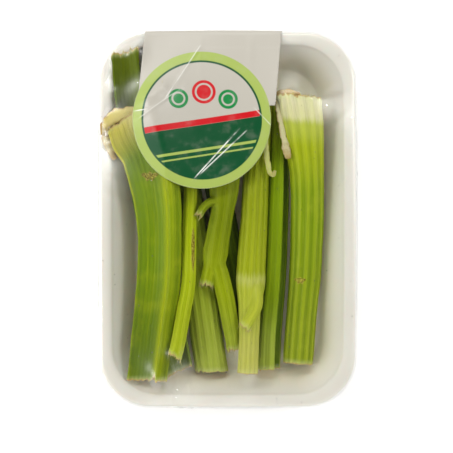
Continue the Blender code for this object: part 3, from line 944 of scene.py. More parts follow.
@dataclass(frozen=True)
class Stem:
    """One tube of stalk, from its root end on.

    Attributes:
        stations: Its places and sizes.
        section: Its cross-section.
        cuts: Slant of its two ends in degrees.
        ends: How they were cut.
        shares: Where its two ends lie along the whole stalk, from 0 to 1, which sets their colour.
        notch: A split in its far end: place round it from 0 to 1, half width as such a share, and depth in
            millimetres.
    """

    stations: tuple[Station, ...]
    section: Section
    cuts: tuple[float, float] = (0.0, 0.0)
    ends: tuple[Cut, Cut] = (Cut.ROUGH, Cut.ROUGH)
    shares: tuple[float, float] = (0.0, 1.0)
    notch: tuple[float, float, float] = (0.0, 0.01, 0.0)

    @property
    def length(self) -> float:
        """Its length on the plan in millimetres."""
        return float(np.hypot(*np.diff(np.array(self.stations)[:, :2], axis=0).T).sum())

    def rings(self, step: float, seed: int) -> np.ndarray:
        """Its cross-sections in metres, standing but not yet laid down.

        Args:
            step: Distance from ring to ring in millimetres.
            seed: Picks its unevenness.

        Returns:
            An array of (ring, point, xyz).
        """
        count = max(int(round(self.length / step)), 6) + 1
        rows = smooth_rows([tuple(s) for s in self.stations], count)
        runs = np.gradient(rows[:, :2], axis=0)
        runs /= np.linalg.norm(runs, axis=1)[:, None]
        across = np.stack([-runs[:, 1], runs[:, 0]], axis=1)
        leans = np.tan(np.radians(np.linspace(*self.cuts, count)))
        along = np.linspace(0.0, self.length, count)
        swell = 1.0 + 0.012 * ripple(along, 22.0, seed)
        flat = self.section.outlines(rows[:, 2] * swell, rows[:, 3] * swell)
        flat *= 1.0 + self.lumps(along, seed)[:, :, None]
        slide = across + leans[:, None] * runs
        plan = rows[:, None, :2] + flat[:, :, :1] * slide[:, None, :]
        plan += self.ragged(along, seed)[:, :, None] * runs[:, None, :]
        return np.concatenate([plan, flat[:, :, 1:] + rows[:, None, 4:]], axis=2) * MM

    def ragged(self, along: np.ndarray, seed: int) -> np.ndarray:
        """How far each point is moved along the stem by the raggedness of the nearer cut.

        Args:
            along: Place of each ring along the stem, in millimetres.
            seed: Picks the unevenness.

        Returns:
            The move of each (ring, point) in millimetres.
        """
        places = np.arange(self.section.around, dtype=float)
        total = np.zeros((len(along), self.section.around))
        for end, sign, away in ((0, -1.0, along), (1, 1.0, along[-1] - along)):
            size = self.ends[end].value
            teeth = 0.6 * ripple(places, 13.0, seed + 5 + end)
            teeth += 0.5 * ripple(places, 4.5, seed + 9 + end)
            total += sign * size * teeth[None, :] * np.exp(-away / (2.6 * size + 1.0))[:, None]
        place, half, depth = self.notch
        split = np.exp(-((places / self.section.around - place) / half) ** 2)
        return total - depth * split[None, :] * np.exp(-(along[-1] - along) / (depth + 1.0))[:, None]

    def lumps(self, along: np.ndarray, seed: int) -> np.ndarray:
        """How much the dried rim of a cut end swells.

        Args:
            along: Place of each ring along the stem, in millimetres.
            seed: Picks the unevenness.

        Returns:
            The swelling of each (ring, point), as a share of the stalk's size.
        """
        places = np.arange(self.section.around, dtype=float)
        total = np.zeros((len(along), self.section.around))
        for end, away in ((0, along), (1, along[-1] - along)):
            size = 0.05 * self.ends[end].value
            knobs = 0.4 + ripple(places, 17.0, seed + 13 + end)
            total += size * knobs[None, :] * (np.exp(-((away - 1.5) / 2.0) ** 2))[:, None]
        return total


@dataclass(frozen=True)
class Lay:
    """How a stalk lies in the pack.

    Attributes:
        curve: Polynomial of the height that is added at each place along +Y, in metres.
        shift: The tray's middle on the plan.
    """

    curve: np.ndarray
    shift: Vector

    @classmethod
    def of_node(cls, stem: Stem, node: str) -> "Lay":
        """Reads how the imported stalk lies, from the side of it that its channel leaves whole.

        Args:
            stem: The stem as it stands before it is laid.
            node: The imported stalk's name.

        Returns:
            The lay.
        """
        low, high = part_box("tray")
        shift = Vector(((low.x + high.x) / 2, (low.y + high.y) / 2, 0.0))
        tree = surface(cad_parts[node])
        below = math.sin(math.radians(stem.section.opening)) > 0.5
        start, direction = (-ABOVE, -DOWN) if below else (ABOVE, DOWN)
        reading_step, rounds, near = 4.0, 4, 0.15 * MM
        places, lifts = [], []
        for ring in stem.rings(reading_step, 0):
            x, y, z = ring[ring[:, 2].argmin() if below else ring[:, 2].argmax()]
            hit = tree.ray_cast(Vector((x + shift.x, y + shift.y, start)), direction)[0]
            if hit is not None:
                places.append(y)
                lifts.append(hit.z - z)
        places, lifts = np.array(places), np.array(lifts)
        kept = np.ones(len(places), bool)
        for _ in range(rounds):
            curve = np.polyfit(places[kept], lifts[kept], 2)
            off = np.abs(np.polyval(curve, places) - lifts)
            kept = off <= max(np.median(off) * 1.5, near)
        return cls(curve, shift)

    def settle(self, rings: np.ndarray) -> np.ndarray:
        """Moves rings to where they lie in the pack.

        Args:
            rings: Rings of the standing stem in metres.

        Returns:
            The moved rings.
        """
        laid = rings + np.array(self.shift)
        laid[:, :, 2] += np.polyval(self.curve, rings[:, :, 1])
        return laid


NUMBERS = ("share", "rib", "channel", "margin_highlight", "cut", "cap", "scab")
CAP_EDGE = 0.35


def tube(rings: np.ndarray, stem: Stem, seed: int) -> bmesh.types.BMesh:
    """A closed tube over rings: a grid rolled up, sealed along its seam and capped at both ends.

    It carries the lengthwise UV map in millimetres and the numbers that the finishes read: share along the
    stalk, rib height, channel, painted highlight on the margins, distance from the nearer cut, cap and scab.

    Args:
        rings: Laid rings in metres.
        stem: The stem that they belong to.
        seed: Picks the unevenness of the cut faces.

    Returns:
        The tube.
    """
    count, around = rings.shape[:2]
    bm = bmesh.new()
    uv = bm.loops.layers.uv.new("lengthwise")
    layers = {name: bm.verts.layers.float.new(name) for name in NUMBERS}
    bmesh.ops.create_grid(bm, x_segments=around, y_segments=count - 1, size=0.5, calc_uvs=True)
    perimeter = np.linalg.norm(np.diff(rings[count // 2], axis=0), axis=1).sum() / MM
    length = stem.length
    for face in bm.faces:
        for loop in face.loops:
            loop[uv].uv = (loop[uv].uv.x * perimeter, loop[uv].uv.y * length)
    section = stem.section
    by_column = {"rib": section.rib_heights(), "channel": section.in_channel(), "margin_highlight": section.margin_highlights()}
    along = np.linspace(0.0, length, count)
    near_root = along if stem.ends[0] is not Cut.GROWN else np.full(count, length)
    near_tip = length - along if stem.ends[1] is not Cut.GROWN else np.full(count, length)
    by_row = {"share": np.linspace(*stem.shares, count), "cut": np.minimum(near_root, near_tip)}
    for index, vert in enumerate(bm.verts):
        row, column = divmod(index, around + 1)
        column %= around
        vert.co = rings[row, column]
        for name, values in by_row.items():
            vert[layers[name]] = values[row]
        for name, values in by_column.items():
            vert[layers[name]] = values[column]
    seam = [v for v in bm.verts if v.is_boundary]
    bmesh.ops.remove_doubles(bm, verts=seam, dist=0.001 * MM)
    border = [e for e in bm.edges if e.is_boundary]
    caps = bmesh.ops.edgeloop_fill(bm, edges=border)["faces"]
    bmesh.ops.recalc_face_normals(bm, faces=bm.faces)
    first, last = Vector(rings[0].mean(axis=0)), Vector(rings[-1].mean(axis=0))
    for cap in caps:
        middle = cap.calc_center_median()
        end = stem.ends[0 if (middle - first).length < (middle - last).length else 1]
        bmesh.ops.inset_individual(bm, faces=[cap], thickness=CAP_EDGE * MM, depth=0.0)
        for vert in cap.verts:
            vert[layers["cap"]] = float(end is not Cut.GROWN)
            vert.co -= cap.normal * CAP_EDGE * MM
    bmesh.ops.triangulate(bm, faces=caps)
    return bm


def inherit(whole: Object, sources: Sequence[bmesh.types.BMesh]) -> None:
    """Gives each corner of a joined piece the UV and the numbers of the nearest corner of its tubes.

    Args:
        whole: The joined piece.
        sources: The tubes before they were joined.
    """
    def place(loop: bmesh.types.BMLoop) -> Vector:
        """A point just inside the face from a corner."""
        return loop.vert.co.lerp(loop.face.calc_center_median(), 0.2)

    corners = []
    for source in sources:
        uv = source.loops.layers.uv["lengthwise"]
        layers = [source.verts.layers.float[name] for name in NUMBERS]
        for face in source.faces:
            corners += [(place(loop), loop[uv].uv.copy(), [loop.vert[layer] for layer in layers])
                        for loop in face.loops]
    tree = KDTree(len(corners))
    for index, (point, _, _) in enumerate(corners):
        tree.insert(point, index)
    tree.balance()
    bm = bmesh.new()
    bm.from_mesh(whole.data)
    uv = bm.loops.layers.uv["lengthwise"]
    layers = [bm.verts.layers.float[name] for name in NUMBERS]
    for face in bm.faces:
        for loop in face.loops:
            _, own_uv, numbers = corners[tree.find(place(loop))[1]]
            loop[uv].uv = own_uv
            for layer, number in zip(layers, numbers):
                loop.vert[layer] = number
    bm.to_mesh(whole.data)
    bm.free()


@dataclass(frozen=True)
class PeelFinish:
    """Dried skin: tan and thin, browner towards its edges.

    Attributes:
        name: The material's name.
        light: Its colour where it is thin.
        dark: Its colour towards its edges.
    """

    name: str
    light: Colour
    dark: Colour

    def material(self) -> Material:
        """Builds the material.

        Returns:
            The material.
        """
        material, graph, shader = blank_material(self.name)
        place = graph.add("TexCoord").outputs["Object"]
        cloud = graph.noise(place, scale=420.0, detail=5.0, rough=0.6)
        brown = graph.step(graph.times_plus(cloud, 0.7, graph.attribute("edge")), 0.95, 1.45)
        graph.fill(shader, {
            "Base Color": graph.mix(brown, self.light, self.dark),
            "Roughness": graph.times_plus(cloud, 0.2, 0.35),
            "Normal": graph.bump(cloud, 0.5, 0.3 * MM),
            "Specular IOR Level": 0.3,
            "Subsurface Weight": 0.3,
            "Subsurface Radius": (1.0, 0.7, 0.3),
            "Subsurface Scale": 0.002,
        })
        return material


class Fold(NamedTuple):
    """One place along a peel, in millimetres and degrees: middle, width, roll and how far it bulges."""

    x: float
    y: float
    z: float
    width: float
    roll: float
    bulge: float


def folds(*rows: tuple[float, ...]) -> tuple[Fold, ...]:
    """Rows of numbers as folds."""
    return tuple(Fold(*row) for row in rows)


@dataclass(frozen=True)
class Peel:
    """A strip of skin that has come loose from a stalk.

    Attributes:
        name: Its name.
        folds: Its places from where it hangs on to its free end.
        light: Its colour where it is thin.
        dark: Its colour towards its edges.
        seed: Picks the unevenness of its edges.
        thickness: Thickness in millimetres.
        columns: Faces across it.
        step: Length of a face along it, in millimetres.
    """

    name: str
    folds: tuple[Fold, ...]
    light: Colour
    dark: Colour
    seed: int
    thickness: float = 0.35
    columns: int = 10
    step: float = 0.5

    def build(self) -> Object:
        """Makes the strip.

        Returns:
            The piece.
        """
        run = sum(math.dist(a[:3], b[:3]) for a, b in zip(self.folds, self.folds[1:]))
        rows = smooth_rows(self.folds, max(int(run / self.step), 8))
        slopes = np.gradient(rows[:, :3], axis=0)
        slopes /= np.linalg.norm(slopes, axis=1)[:, None]
        side = np.cross(slopes, (0.0, 0.0, 1.0))
        side /= np.linalg.norm(side, axis=1)[:, None]
        up = np.cross(side, slopes)
        turn = np.radians(rows[:, 4])[:, None]
        out = side * np.cos(turn) + up * np.sin(turn)
        normal = up * np.cos(turn) - side * np.sin(turn)
        along = np.linspace(0.0, run, len(rows))
        bm = bmesh.new()
        edge = bm.verts.layers.float.new("edge")
        bmesh.ops.create_grid(bm, x_segments=self.columns, y_segments=len(rows) - 1, size=0.5)
        wavy = [1.0 + 0.16 * ripple(along, 5.0, self.seed + side_number) for side_number in (0, 1)]
        for index, vert in enumerate(bm.verts):
            row, column = divmod(index, self.columns + 1)
            place = 2.0 * column / self.columns - 1.0
            half = rows[row, 3] / 2 * wavy[place > 0.0][row]
            middle = rows[row, :3] + normal[row] * (rows[row, 5] * (1.0 - place ** 2))
            vert.co = Vector((middle + out[row] * half * place) * MM)
            vert[edge] = max(abs(place), 1.2 * along[row] / run - 0.2)
        bmesh.ops.recalc_face_normals(bm, faces=bm.faces)
        material = PeelFinish(f"{self.name}_skin", self.light, self.dark).material()
        piece = finished(self.name, bm, material)
        thickened(piece, self.thickness, 0.0)
        soft = piece.modifiers.new("soft", "SUBSURF")
        soft.levels = soft.render_levels = 1
        return applied(piece)


@dataclass(frozen=True)
class Fibres:
    """Loose strings that stand out of torn ends.

    Attributes:
        number: How many to an end.
        longest: Length of the longest, in millimetres.
        radius: Radius at the root of each, in millimetres.
        light: Their lighter colour.
        dark: Their darker colour.
    """

    number: int = 24
    longest: float = 2.6
    radius: float = 0.17
    light: Colour = paint(190, 180, 110)
    dark: Colour = paint(160, 126, 62)

    def build(
        self, name: str, rims: Sequence[tuple[np.ndarray, np.ndarray]], slot: str, seed: int
    ) -> Object:
        """Makes the strings of one stalk.

        Args:
            name: Name of the piece.
            rims: For each torn end its rim's points and the direction out of the stalk, in metres.
            slot: Not used.
            seed: Picks their places and bends.

        Returns:
            The piece.
        """
        draw = np.random.default_rng(seed)
        lines = bpy.data.curves.new(name, "CURVE")
        lines.dimensions = "3D"
        lines.bevel_depth = self.radius * MM
        lines.bevel_resolution = 1
        lines.resolution_u = 3
        bends = 3
        for rim, outward in rims:
            for _ in range(self.number):
                root = rim[draw.integers(len(rim))]
                length = self.longest * MM * draw.uniform(0.25, 1.0) ** 1.5
                aside = draw.normal(0.0, 1.0, 3) * (1.0, 1.0, 0.5)
                spline = lines.splines.new("NURBS")
                spline.points.add(bends)
                spline.use_endpoint_u = True
                for number, point in enumerate(spline.points):
                    share = number / bends
                    place = root + outward * length * (share - 0.25) + aside * length * 0.4 * share ** 2
                    point.co = (*place, 1.0)
                    point.radius = 1.1 - 0.8 * share
        obj = bpy.data.objects.new(name, lines)
        bpy.context.scene.collection.objects.link(obj)
        bpy.context.view_layer.update()
        bm = bmesh.new()
        bm.from_mesh(obj.evaluated_get(bpy.context.evaluated_depsgraph_get()).to_mesh())
        bpy.data.objects.remove(obj, do_unlink=True)
        material = PeelFinish(f"{name}_dried", self.light, self.dark).material()
        return finished(name, bm, material)


@dataclass(frozen=True)
class Stalk:
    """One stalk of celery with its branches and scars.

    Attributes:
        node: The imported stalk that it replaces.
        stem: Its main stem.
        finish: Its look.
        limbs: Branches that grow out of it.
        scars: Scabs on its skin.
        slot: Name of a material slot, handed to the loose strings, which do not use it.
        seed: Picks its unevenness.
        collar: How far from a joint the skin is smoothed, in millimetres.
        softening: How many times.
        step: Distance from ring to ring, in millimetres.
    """

    node: str
    stem: Stem
    finish: CeleryFinish
    limbs: tuple[Stem, ...] = ()
    scars: tuple[Scar, ...] = ()
    slot: str = "stalk_green"
    seed: int = 0
    collar: float = 2.0
    softening: int = 14
    step: float = 0.8

    def build(self, strings: NodeTree, browning: NodeTree) -> Object:
        """Makes the stalk where it lies in the pack.

        Args:
            strings: Group of lengthwise streaks.
            browning: Group of dried edges.

        Returns:
            The piece.
        """
        step = self.step * coarser()
        lay = Lay.of_node(self.stem, self.node)
        material = self.finish.material(strings, browning)
        tubes, rims = [], []
        for number, stem in enumerate((self.stem, *self.limbs)):
            laid = lay.settle(stem.rings(step, self.seed + number))
            for end, first, second in ((0, laid[0], laid[2]), (1, laid[-1], laid[-3])):
                if stem.ends[end] is Cut.TORN:
                    outward = (first - second).mean(axis=0)
                    rims.append((first, outward / np.linalg.norm(outward)))
            bm = tube(laid, stem, self.seed)
            self.scar(bm, lay.shift)
            tubes.append(finished(f"{self.node}_tube_{number}", bm, material))
        if rims:
            Fibres().build(f"{self.node}_fibres", rims, self.slot, self.seed)
        whole = self.join(tubes)
        whole.name = f"{self.node}_skin"
        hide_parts(self.node)
        return whole

    def scar(self, bm: bmesh.types.BMesh, shift: Vector) -> None:
        """Raises the scabs out of the skin and marks them for the finish.

        Args:
            bm: A laid tube.
            shift: The tray's middle on the plan.
        """
        scab = bm.verts.layers.float["scab"]
        lobes, steepness, faded_out = 5.0, 9.0, 1.6
        bm.normal_update()
        for mark in self.scars:
            for vert in bm.verts:
                dx = (vert.co.x - shift.x) / MM - mark.x
                dy = (vert.co.y - shift.y) / MM - mark.y
                away = math.hypot(dx / (mark.across / 2), dy / (mark.length / 2))
                if away < faded_out and vert.normal.z > 0.0:
                    edge = 0.85 + 0.25 * math.sin(lobes * math.atan2(dy, dx))
                    amount = 1.0 / (1.0 + math.exp(steepness * (away - edge)))
                    vert[scab] = max(vert[scab], amount)
                    crumbs = 0.7 + 0.3 * math.sin(dx * 4.1 + dy * 2.7)
                    vert.co += vert.normal * amount * mark.height * MM * crumbs

    def join(self, tubes: list[Object]) -> Object:
        """Fuses the limbs to the stem and smooths the skin where they meet.

        Args:
            tubes: The stem and its limbs as closed tubes.

        Returns:
            One closed piece.
        """
        sources = []
        for piece in tubes:
            sources.append(bmesh.new())
            sources[-1].from_mesh(piece.data)
        whole, *limbs = tubes
        joints = []
        for limb in limbs:
            joints.append((surface(whole), surface(limb)))
            union = whole.modifiers.new("limb", "BOOLEAN")
            union.operation = "UNION"
            union.solver = "EXACT"
            union.object = limb
            applied(whole)
            bpy.data.objects.remove(limb, do_unlink=True)
        if limbs:
            inherit(whole, sources)
        for sides in joints:
            self.soften(whole, sides)
        for source in sources:
            source.free()
        return whole

    def soften(self, whole: Object, sides: Sequence[BVHTree]) -> None:
        """Smooths the skin wherever it lies close to both of the shapes that were joined.

        Args:
            whole: The joined piece.
            sides: The surfaces of the two shapes.
        """
        bm = bmesh.new()
        bm.from_mesh(whole.data)
        near = [v for v in bm.verts if all(s.find_nearest(v.co, self.collar * MM)[0] for s in sides)]
        axes = {"use_axis_x": True, "use_axis_y": True, "use_axis_z": True}
        for _ in range(self.softening):
            bmesh.ops.smooth_vert(bm, verts=near, factor=0.5, **axes)
        bm.to_mesh(whole.data)
        bm.free()


def side_points(
    half_along: float, half_across: float, radius: float, steps: int, corner: int, bow: float
) -> list[tuple[float, float]]:
    """One side of a rounded rectangle, seen from outside and run left to right.

    Args:
        half_along: Half the rectangle's size along this side.
        half_across: Half its size across.
        radius: Corner radius.
        steps: Faces along the straight run.
        corner: Faces along half a corner.
        bow: How far the side's middle stands out.

    Returns:
        Points as (along, outward) from the middle of one corner to before the middle of the next.
    """
    half_corner = math.radians(45.0)
    straight = half_along - radius
    turns = [half_corner * i / corner for i in range(1, corner + 1)]
    arc = [(straight + radius * math.sin(t), half_across - radius * (1.0 - math.cos(t))) for t in turns]
    points = [(-u, w) for u, w in reversed(arc)]
    points += [(straight * (2.0 * i / steps - 1.0), half_across) for i in range(steps + 1)]
    points += arc[:-1]
    reach = half_along - radius * (1.0 - math.cos(half_corner))
    return [(u, w + bow * max(0.0, 1.0 - (u / reach) ** 2)) for u, w in points]


@dataclass(frozen=True)
class TrayOutline:
    """The tray's rounded outline, in millimetres, which the foam and the film share.

    Attributes:
        width: Its size along X.
        length: Its size along Y.
        corner: Its corner radius.
        tightening: How much the radius shrinks for each millimetre further in.
        bow: How far the middle of each side stands out.
        corner_steps: Faces along half a corner.
        width_steps: Faces along a straight run across.
        length_steps: Faces along a straight run lengthwise.
    """

    width: float = 142.5
    length: float = 209.0
    corner: float = 27.0
    tightening: float = 0.35
    bow: float = 0.8
    corner_steps: int = 12
    width_steps: int = 84
    length_steps: int = 130

    @property
    def columns(self) -> int:
        """Faces from corner middle to corner middle across the tray."""
        return self.width_steps + 2 * self.corner_steps

    @property
    def rows(self) -> int:
        """Faces from corner middle to corner middle along the tray."""
        return self.length_steps + 2 * self.corner_steps

    def points(self, inset: float, height: float) -> np.ndarray:
        """The outline moved in by an inset, at a height.

        Args:
            inset: Distance in from the rim's outline, in millimetres.
            height: Height above the table, in millimetres.

        Returns:
            Points in metres, anticlockwise from the -X -Y corner.
        """
        half_x, half_y = self.width / 2 - inset, self.length / 2 - inset
        radius = self.corner - self.tightening * inset
        across = side_points(half_x, half_y, radius, self.width_steps, self.corner_steps, self.bow)
        along = side_points(half_y, half_x, radius, self.length_steps, self.corner_steps, self.bow)
        places = [(u, -w) for u, w in across] + [(w, u) for u, w in along]
        places += [(-u, w) for u, w in across] + [(-w, -u) for u, w in along]
        return np.array([(x, y, height) for x, y in places]) * MM


def profile_rows(profile: Sequence[tuple[float, float]], step: float) -> np.ndarray:
    """A profile rounded and resampled.

    Args:
        profile: Pairs of (inset, height) in millimetres.
        step: About how far apart the new pairs lie.

    Returns:
        The new pairs.
    """
    run = sum(math.dist(a, b) for a, b in zip(profile, profile[1:]))
    return smooth_rows(profile, max(int(run / step), 4))


def extrude_rings(
    bm: bmesh.types.BMesh, border: list[bmesh.types.BMEdge], rings: Sequence[np.ndarray]
) -> list[bmesh.types.BMEdge]:
    """Extrudes a border through a run of rings, each vertex keeping its number round the ring.

    Args:
        bm: The bmesh, whose vertices have a whole-number layer named number.
        border: The border's edges.
        rings: Places of the vertices of each new ring.

    Returns:
        The last ring's edges.
    """
    numbers = bm.verts.layers.int["number"]
    for ring in rings:
        made = bmesh.ops.extrude_edge_only(bm, edges=border)["geom"]
        for item in made:
            if isinstance(item, bmesh.types.BMVert):
                item.co = ring[item[numbers]]
        border = [item for item in made if isinstance(item, bmesh.types.BMEdge) and item.is_boundary]
    return border


@dataclass(frozen=True)
class FoamTray:
    """The shallow foam tray.

    Attributes:
        outline: Its outline.
        profile: Inset and height, in millimetres, from the floor over the rim and down outside.
        step: Size of its faces along the profile, in millimetres.
        floor_rings: Rings of faces round the middle of its floor and of its base.
        floor_step: Width of each, in millimetres.
    """

    outline: TrayOutline
    profile: tuple[tuple[float, float], ...] = (
        (23.5, 3.7), (20.0, 4.6), (17.5, 6.6), (8.0, 17.4), (6.6, 19.2), (4.8, 20.0), (2.2, 20.0),
        (0.6, 19.5), (0.0, 18.6), (0.4, 17.3), (2.8, 16.6), (5.4, 15.6), (16.5, 3.6), (19.0, 1.5),
        (22.5, 0.7),
    )
    step: float = 0.9
    floor_rings: int = 3
    floor_step: float = 6.0

    def build(self, finish: FoamFinish) -> Object:
        """Makes the tray.

        Args:
            finish: Its look.

        Returns:
            The piece.
        """
        rows = profile_rows(self.profile, self.step * coarser())
        rings = [self.outline.points(inset, height) for inset, height in rows]
        bm = bmesh.new()
        numbers = bm.verts.layers.int.new("number")
        bmesh.ops.create_circle(bm, segments=len(rings[0]), radius=1.0, cap_ends=True)
        for number, vert in enumerate(bm.verts):
            vert[numbers] = number
            vert.co = rings[0][number]
        floor = list(bm.faces)
        border = extrude_rings(bm, list(bm.edges), rings[1:])
        base = bmesh.ops.edgeloop_fill(bm, edges=border)["faces"]
        bmesh.ops.recalc_face_normals(bm, faces=bm.faces)
        for face in floor + base:
            for _ in range(self.floor_rings):
                bmesh.ops.inset_individual(bm, faces=[face], thickness=self.floor_step * MM)
        piece = finished("foam_tray", bm, finish.material())
        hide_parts("tray")
        return piece


@dataclass(frozen=True)
class StretchFilm:
    """The clear film, pulled tight over the heap, round the rim and under the tray.

    Attributes:
        outline: The tray's outline.
        top_edge: Inset and height, in millimetres, at which the film meets the rim.
        profile: Inset and height of the film outside the rim.
        clearance: Least gap to what lies below, in millimetres.
        thickness: Thickness of the modelled sheet, in millimetres.
        spreading: Rounds of spreading its points evenly on the plan.
        passes: Rounds of pulling tight.
        overshoot: How far each round pulls, 1 being level with the neighbours.
        wrinkle_count: How many tension ridges run in from the rim.
        wrinkle_start: Where on the plan they start, along X and Y, in millimetres.
        pleat_corner: Place in each corner where the pleats are deepest, in millimetres.
        pleat_reach: How far from it they fade, in millimetres.
        seed: Picks its ridges and pleats.
    """

    outline: TrayOutline
    top_edge: tuple[float, float] = (1.6, 20.4)
    profile: tuple[tuple[float, float], ...] = (
        (1.6, 20.4), (0.3, 20.1), (-0.45, 19.3), (-0.5, 17.2), (8.0, 9.9), (17.0, 2.4), (19.2, 0.9),
        (22.6, 0.4), (27.0, 0.4), (44.0, 0.4), (62.0, 0.4),
    )
    clearance: float = 0.45
    thickness: float = 0.06
    spreading: int = 600
    passes: int = 420
    overshoot: float = 1.92
    wrinkle_count: int = 26
    wrinkle_start: tuple[float, float] = (71.0, 104.0)
    pleat_corner: tuple[float, float] = (58.0, 90.0)
    pleat_reach: float = 30.0
    seed: int = 7

    def build(self, contents: Sequence[Object], finish: FilmFinish) -> Object:
        """Drapes the film.

        Args:
            contents: The tray and the stalks.
            finish: Its look.

        Returns:
            The piece.
        """
        columns, rows = self.outline.columns, self.outline.rows
        walk = [(c, 0) for c in range(columns)] + [(columns, r) for r in range(rows)]
        walk += [(c, rows) for c in range(columns, 0, -1)] + [(0, r) for r in range(rows, 0, -1)]
        edge = self.outline.points(*self.top_edge)
        sheet = self.pulled_tight(walk, edge, [surface(o) for o in contents])
        bm = bmesh.new()
        numbers = bm.verts.layers.int.new("number")
        bmesh.ops.create_grid(bm, x_segments=columns, y_segments=rows, size=0.5)
        for index, vert in enumerate(bm.verts):
            row, column = divmod(index, columns + 1)
            vert.co = sheet[row, column]
        bm.verts.ensure_lookup_table()
        for number, (column, row) in enumerate(walk):
            bm.verts[row * (columns + 1) + column][numbers] = number
        border = [e for e in bm.edges if e.is_boundary]
        extrude_rings(bm, border, self.walls())
        bmesh.ops.recalc_face_normals(bm, faces=bm.faces)
        piece = finished("stretch_film", bm, finish.material())
        thickened(piece, self.thickness, 1.0)
        applied(piece)
        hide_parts("film")
        return piece

    def pulled_tight(
        self, walk: Sequence[tuple[int, int]], edge: np.ndarray, below: Sequence[BVHTree]
    ) -> np.ndarray:
        """The film's top as a grid of points, level with its neighbours wherever nothing holds it up.

        Args:
            walk: Grid places of the edge in order.
            edge: Points of the edge.
            below: What may hold it up.

        Returns:
            An array of (row, column, xyz) in metres.
        """
        rows, columns = self.outline.rows + 1, self.outline.columns + 1
        grid = np.zeros((rows, columns, 3))
        fixed = np.zeros((rows, columns), bool)
        for (column, row), place in zip(walk, edge):
            grid[row, column] = place
            fixed[row, column] = True
        u, v = np.linspace(0, 1, columns)[None, :, None], np.linspace(0, 1, rows)[:, None, None]
        blend = (1 - u) * grid[:, :1] + u * grid[:, -1:] + (1 - v) * grid[:1] + v * grid[-1:]
        blend -= ((1 - u) * (1 - v) * grid[0, 0] + u * (1 - v) * grid[0, -1]
                  + (1 - u) * v * grid[-1, 0] + u * v * grid[-1, -1])
        grid = np.where(fixed[:, :, None], grid, blend)
        for _ in range(self.spreading):
            grid[1:-1, 1:-1, :2] = (grid[:-2, 1:-1, :2] + grid[2:, 1:-1, :2]
                                    + grid[1:-1, :-2, :2] + grid[1:-1, 2:, :2]) / 4
        needs = np.full((rows, columns), -1.0)
        for row in range(1, rows - 1):
            for column in range(1, columns - 1):
                top = topmost(below, *grid[row, column, :2])
                if top is not None:
                    needs[row, column] = top + self.clearance * MM
        needs = self.widened(needs)
        heights = np.maximum(grid[:, :, 2], needs)
        chequer = np.indices((rows - 2, columns - 2)).sum(axis=0) % 2 == 0
        for _ in range(self.passes):
            for turn in (chequer, ~chequer):
                mean = (heights[:-2, 1:-1] + heights[2:, 1:-1] + heights[1:-1, :-2] + heights[1:-1, 2:]) / 4
                own = heights[1:-1, 1:-1]
                pulled = np.maximum(own + self.overshoot * (mean - own), needs[1:-1, 1:-1])
                heights[1:-1, 1:-1] = np.where(turn, pulled, own)
        grid[:, :, 2] = heights + self.wrinkles(grid) * MM
        return grid

    @staticmethod
    def widened(needs: np.ndarray) -> np.ndarray:
        """Raises each need towards its neighbours', so that no ridge pokes out between two points.

        Args:
            needs: Least height of each point in metres.

        Returns:
            The raised heights.
        """
        easing = 0.6 * MM
        wide = needs.copy()
        for axis in (0, 1):
            for way in (-1, 1):
                wide = np.maximum(wide, np.roll(needs, way, axis=axis))
        return 0.5 * (wide + np.maximum(needs, wide - easing))

    def wrinkles(self, grid: np.ndarray) -> np.ndarray:
        """Small tension ridges that run in from the rim, never down towards what lies below.

        Args:
            grid: The film's top in metres.

        Returns:
            The height of the ridges at each point, in millimetres.
        """
        draw = np.random.default_rng(self.seed)
        x, y = grid[:, :, 0] / MM, grid[:, :, 1] / MM
        total = np.zeros(x.shape)
        for _ in range(self.wrinkle_count):
            side = draw.integers(4)
            along = draw.uniform(-0.9, 0.9)
            edges = ((along, -1.0), (1.0, along), (along, 1.0), (-1.0, along))
            start = np.array(edges[side]) * self.wrinkle_start
            aim = np.array([draw.uniform(-25, 25), draw.uniform(-60, 60)])
            line = (aim - start) / np.linalg.norm(aim - start)
            length, width = draw.uniform(18, 50), draw.uniform(0.9, 2.2)
            height = draw.uniform(0.08, 0.3)
            run = (x - start[0]) * line[0] + (y - start[1]) * line[1]
            off = (x - start[0]) * -line[1] + (y - start[1]) * line[0]
            bend = 1.5 * np.sin(run / 17.0 + draw.uniform(0, 6))
            fade = np.clip(run / 5.0, 0, 1) * np.clip(1.0 - run / length, 0, 1)
            total += height * fade * np.exp(-((off - bend) / width) ** 2)
        return total

    def walls(self) -> list[np.ndarray]:
        """Rings of the film outside the rim, gathered into pleats towards the underside.

        Returns:
            The points of each ring in metres.
        """
        rings = []
        step, taut, slackest, underside = 1.6, 17.0, 3.0, 1.2
        for inset, height in profile_rows(self.profile, step)[1:]:
            ring = self.outline.points(inset, height)
            outward = self.outline.points(inset - 1.0, height) - ring
            outward /= np.linalg.norm(outward, axis=1)[:, None]
            run = np.cumsum(np.linalg.norm(np.diff(ring, axis=0, append=ring[:1]), axis=1)) / MM
            off = (np.abs(ring[:, :2]) / MM - self.pleat_corner) / self.pleat_reach
            corner = np.exp(-(off ** 2).sum(axis=1))
            slack = np.clip((taut - height) / (taut - slackest), 0.0, 1.0)
            pleat = (0.25 + 0.9 * corner) * slack * (0.5 + 0.5 * ripple(run, 6.5, self.seed))
            if height < underside:
                ring[:, 2] += pleat * 0.35 * MM
            else:
                ring -= outward * pleat[:, None] * MM
            rings.append(ring)
        return rings


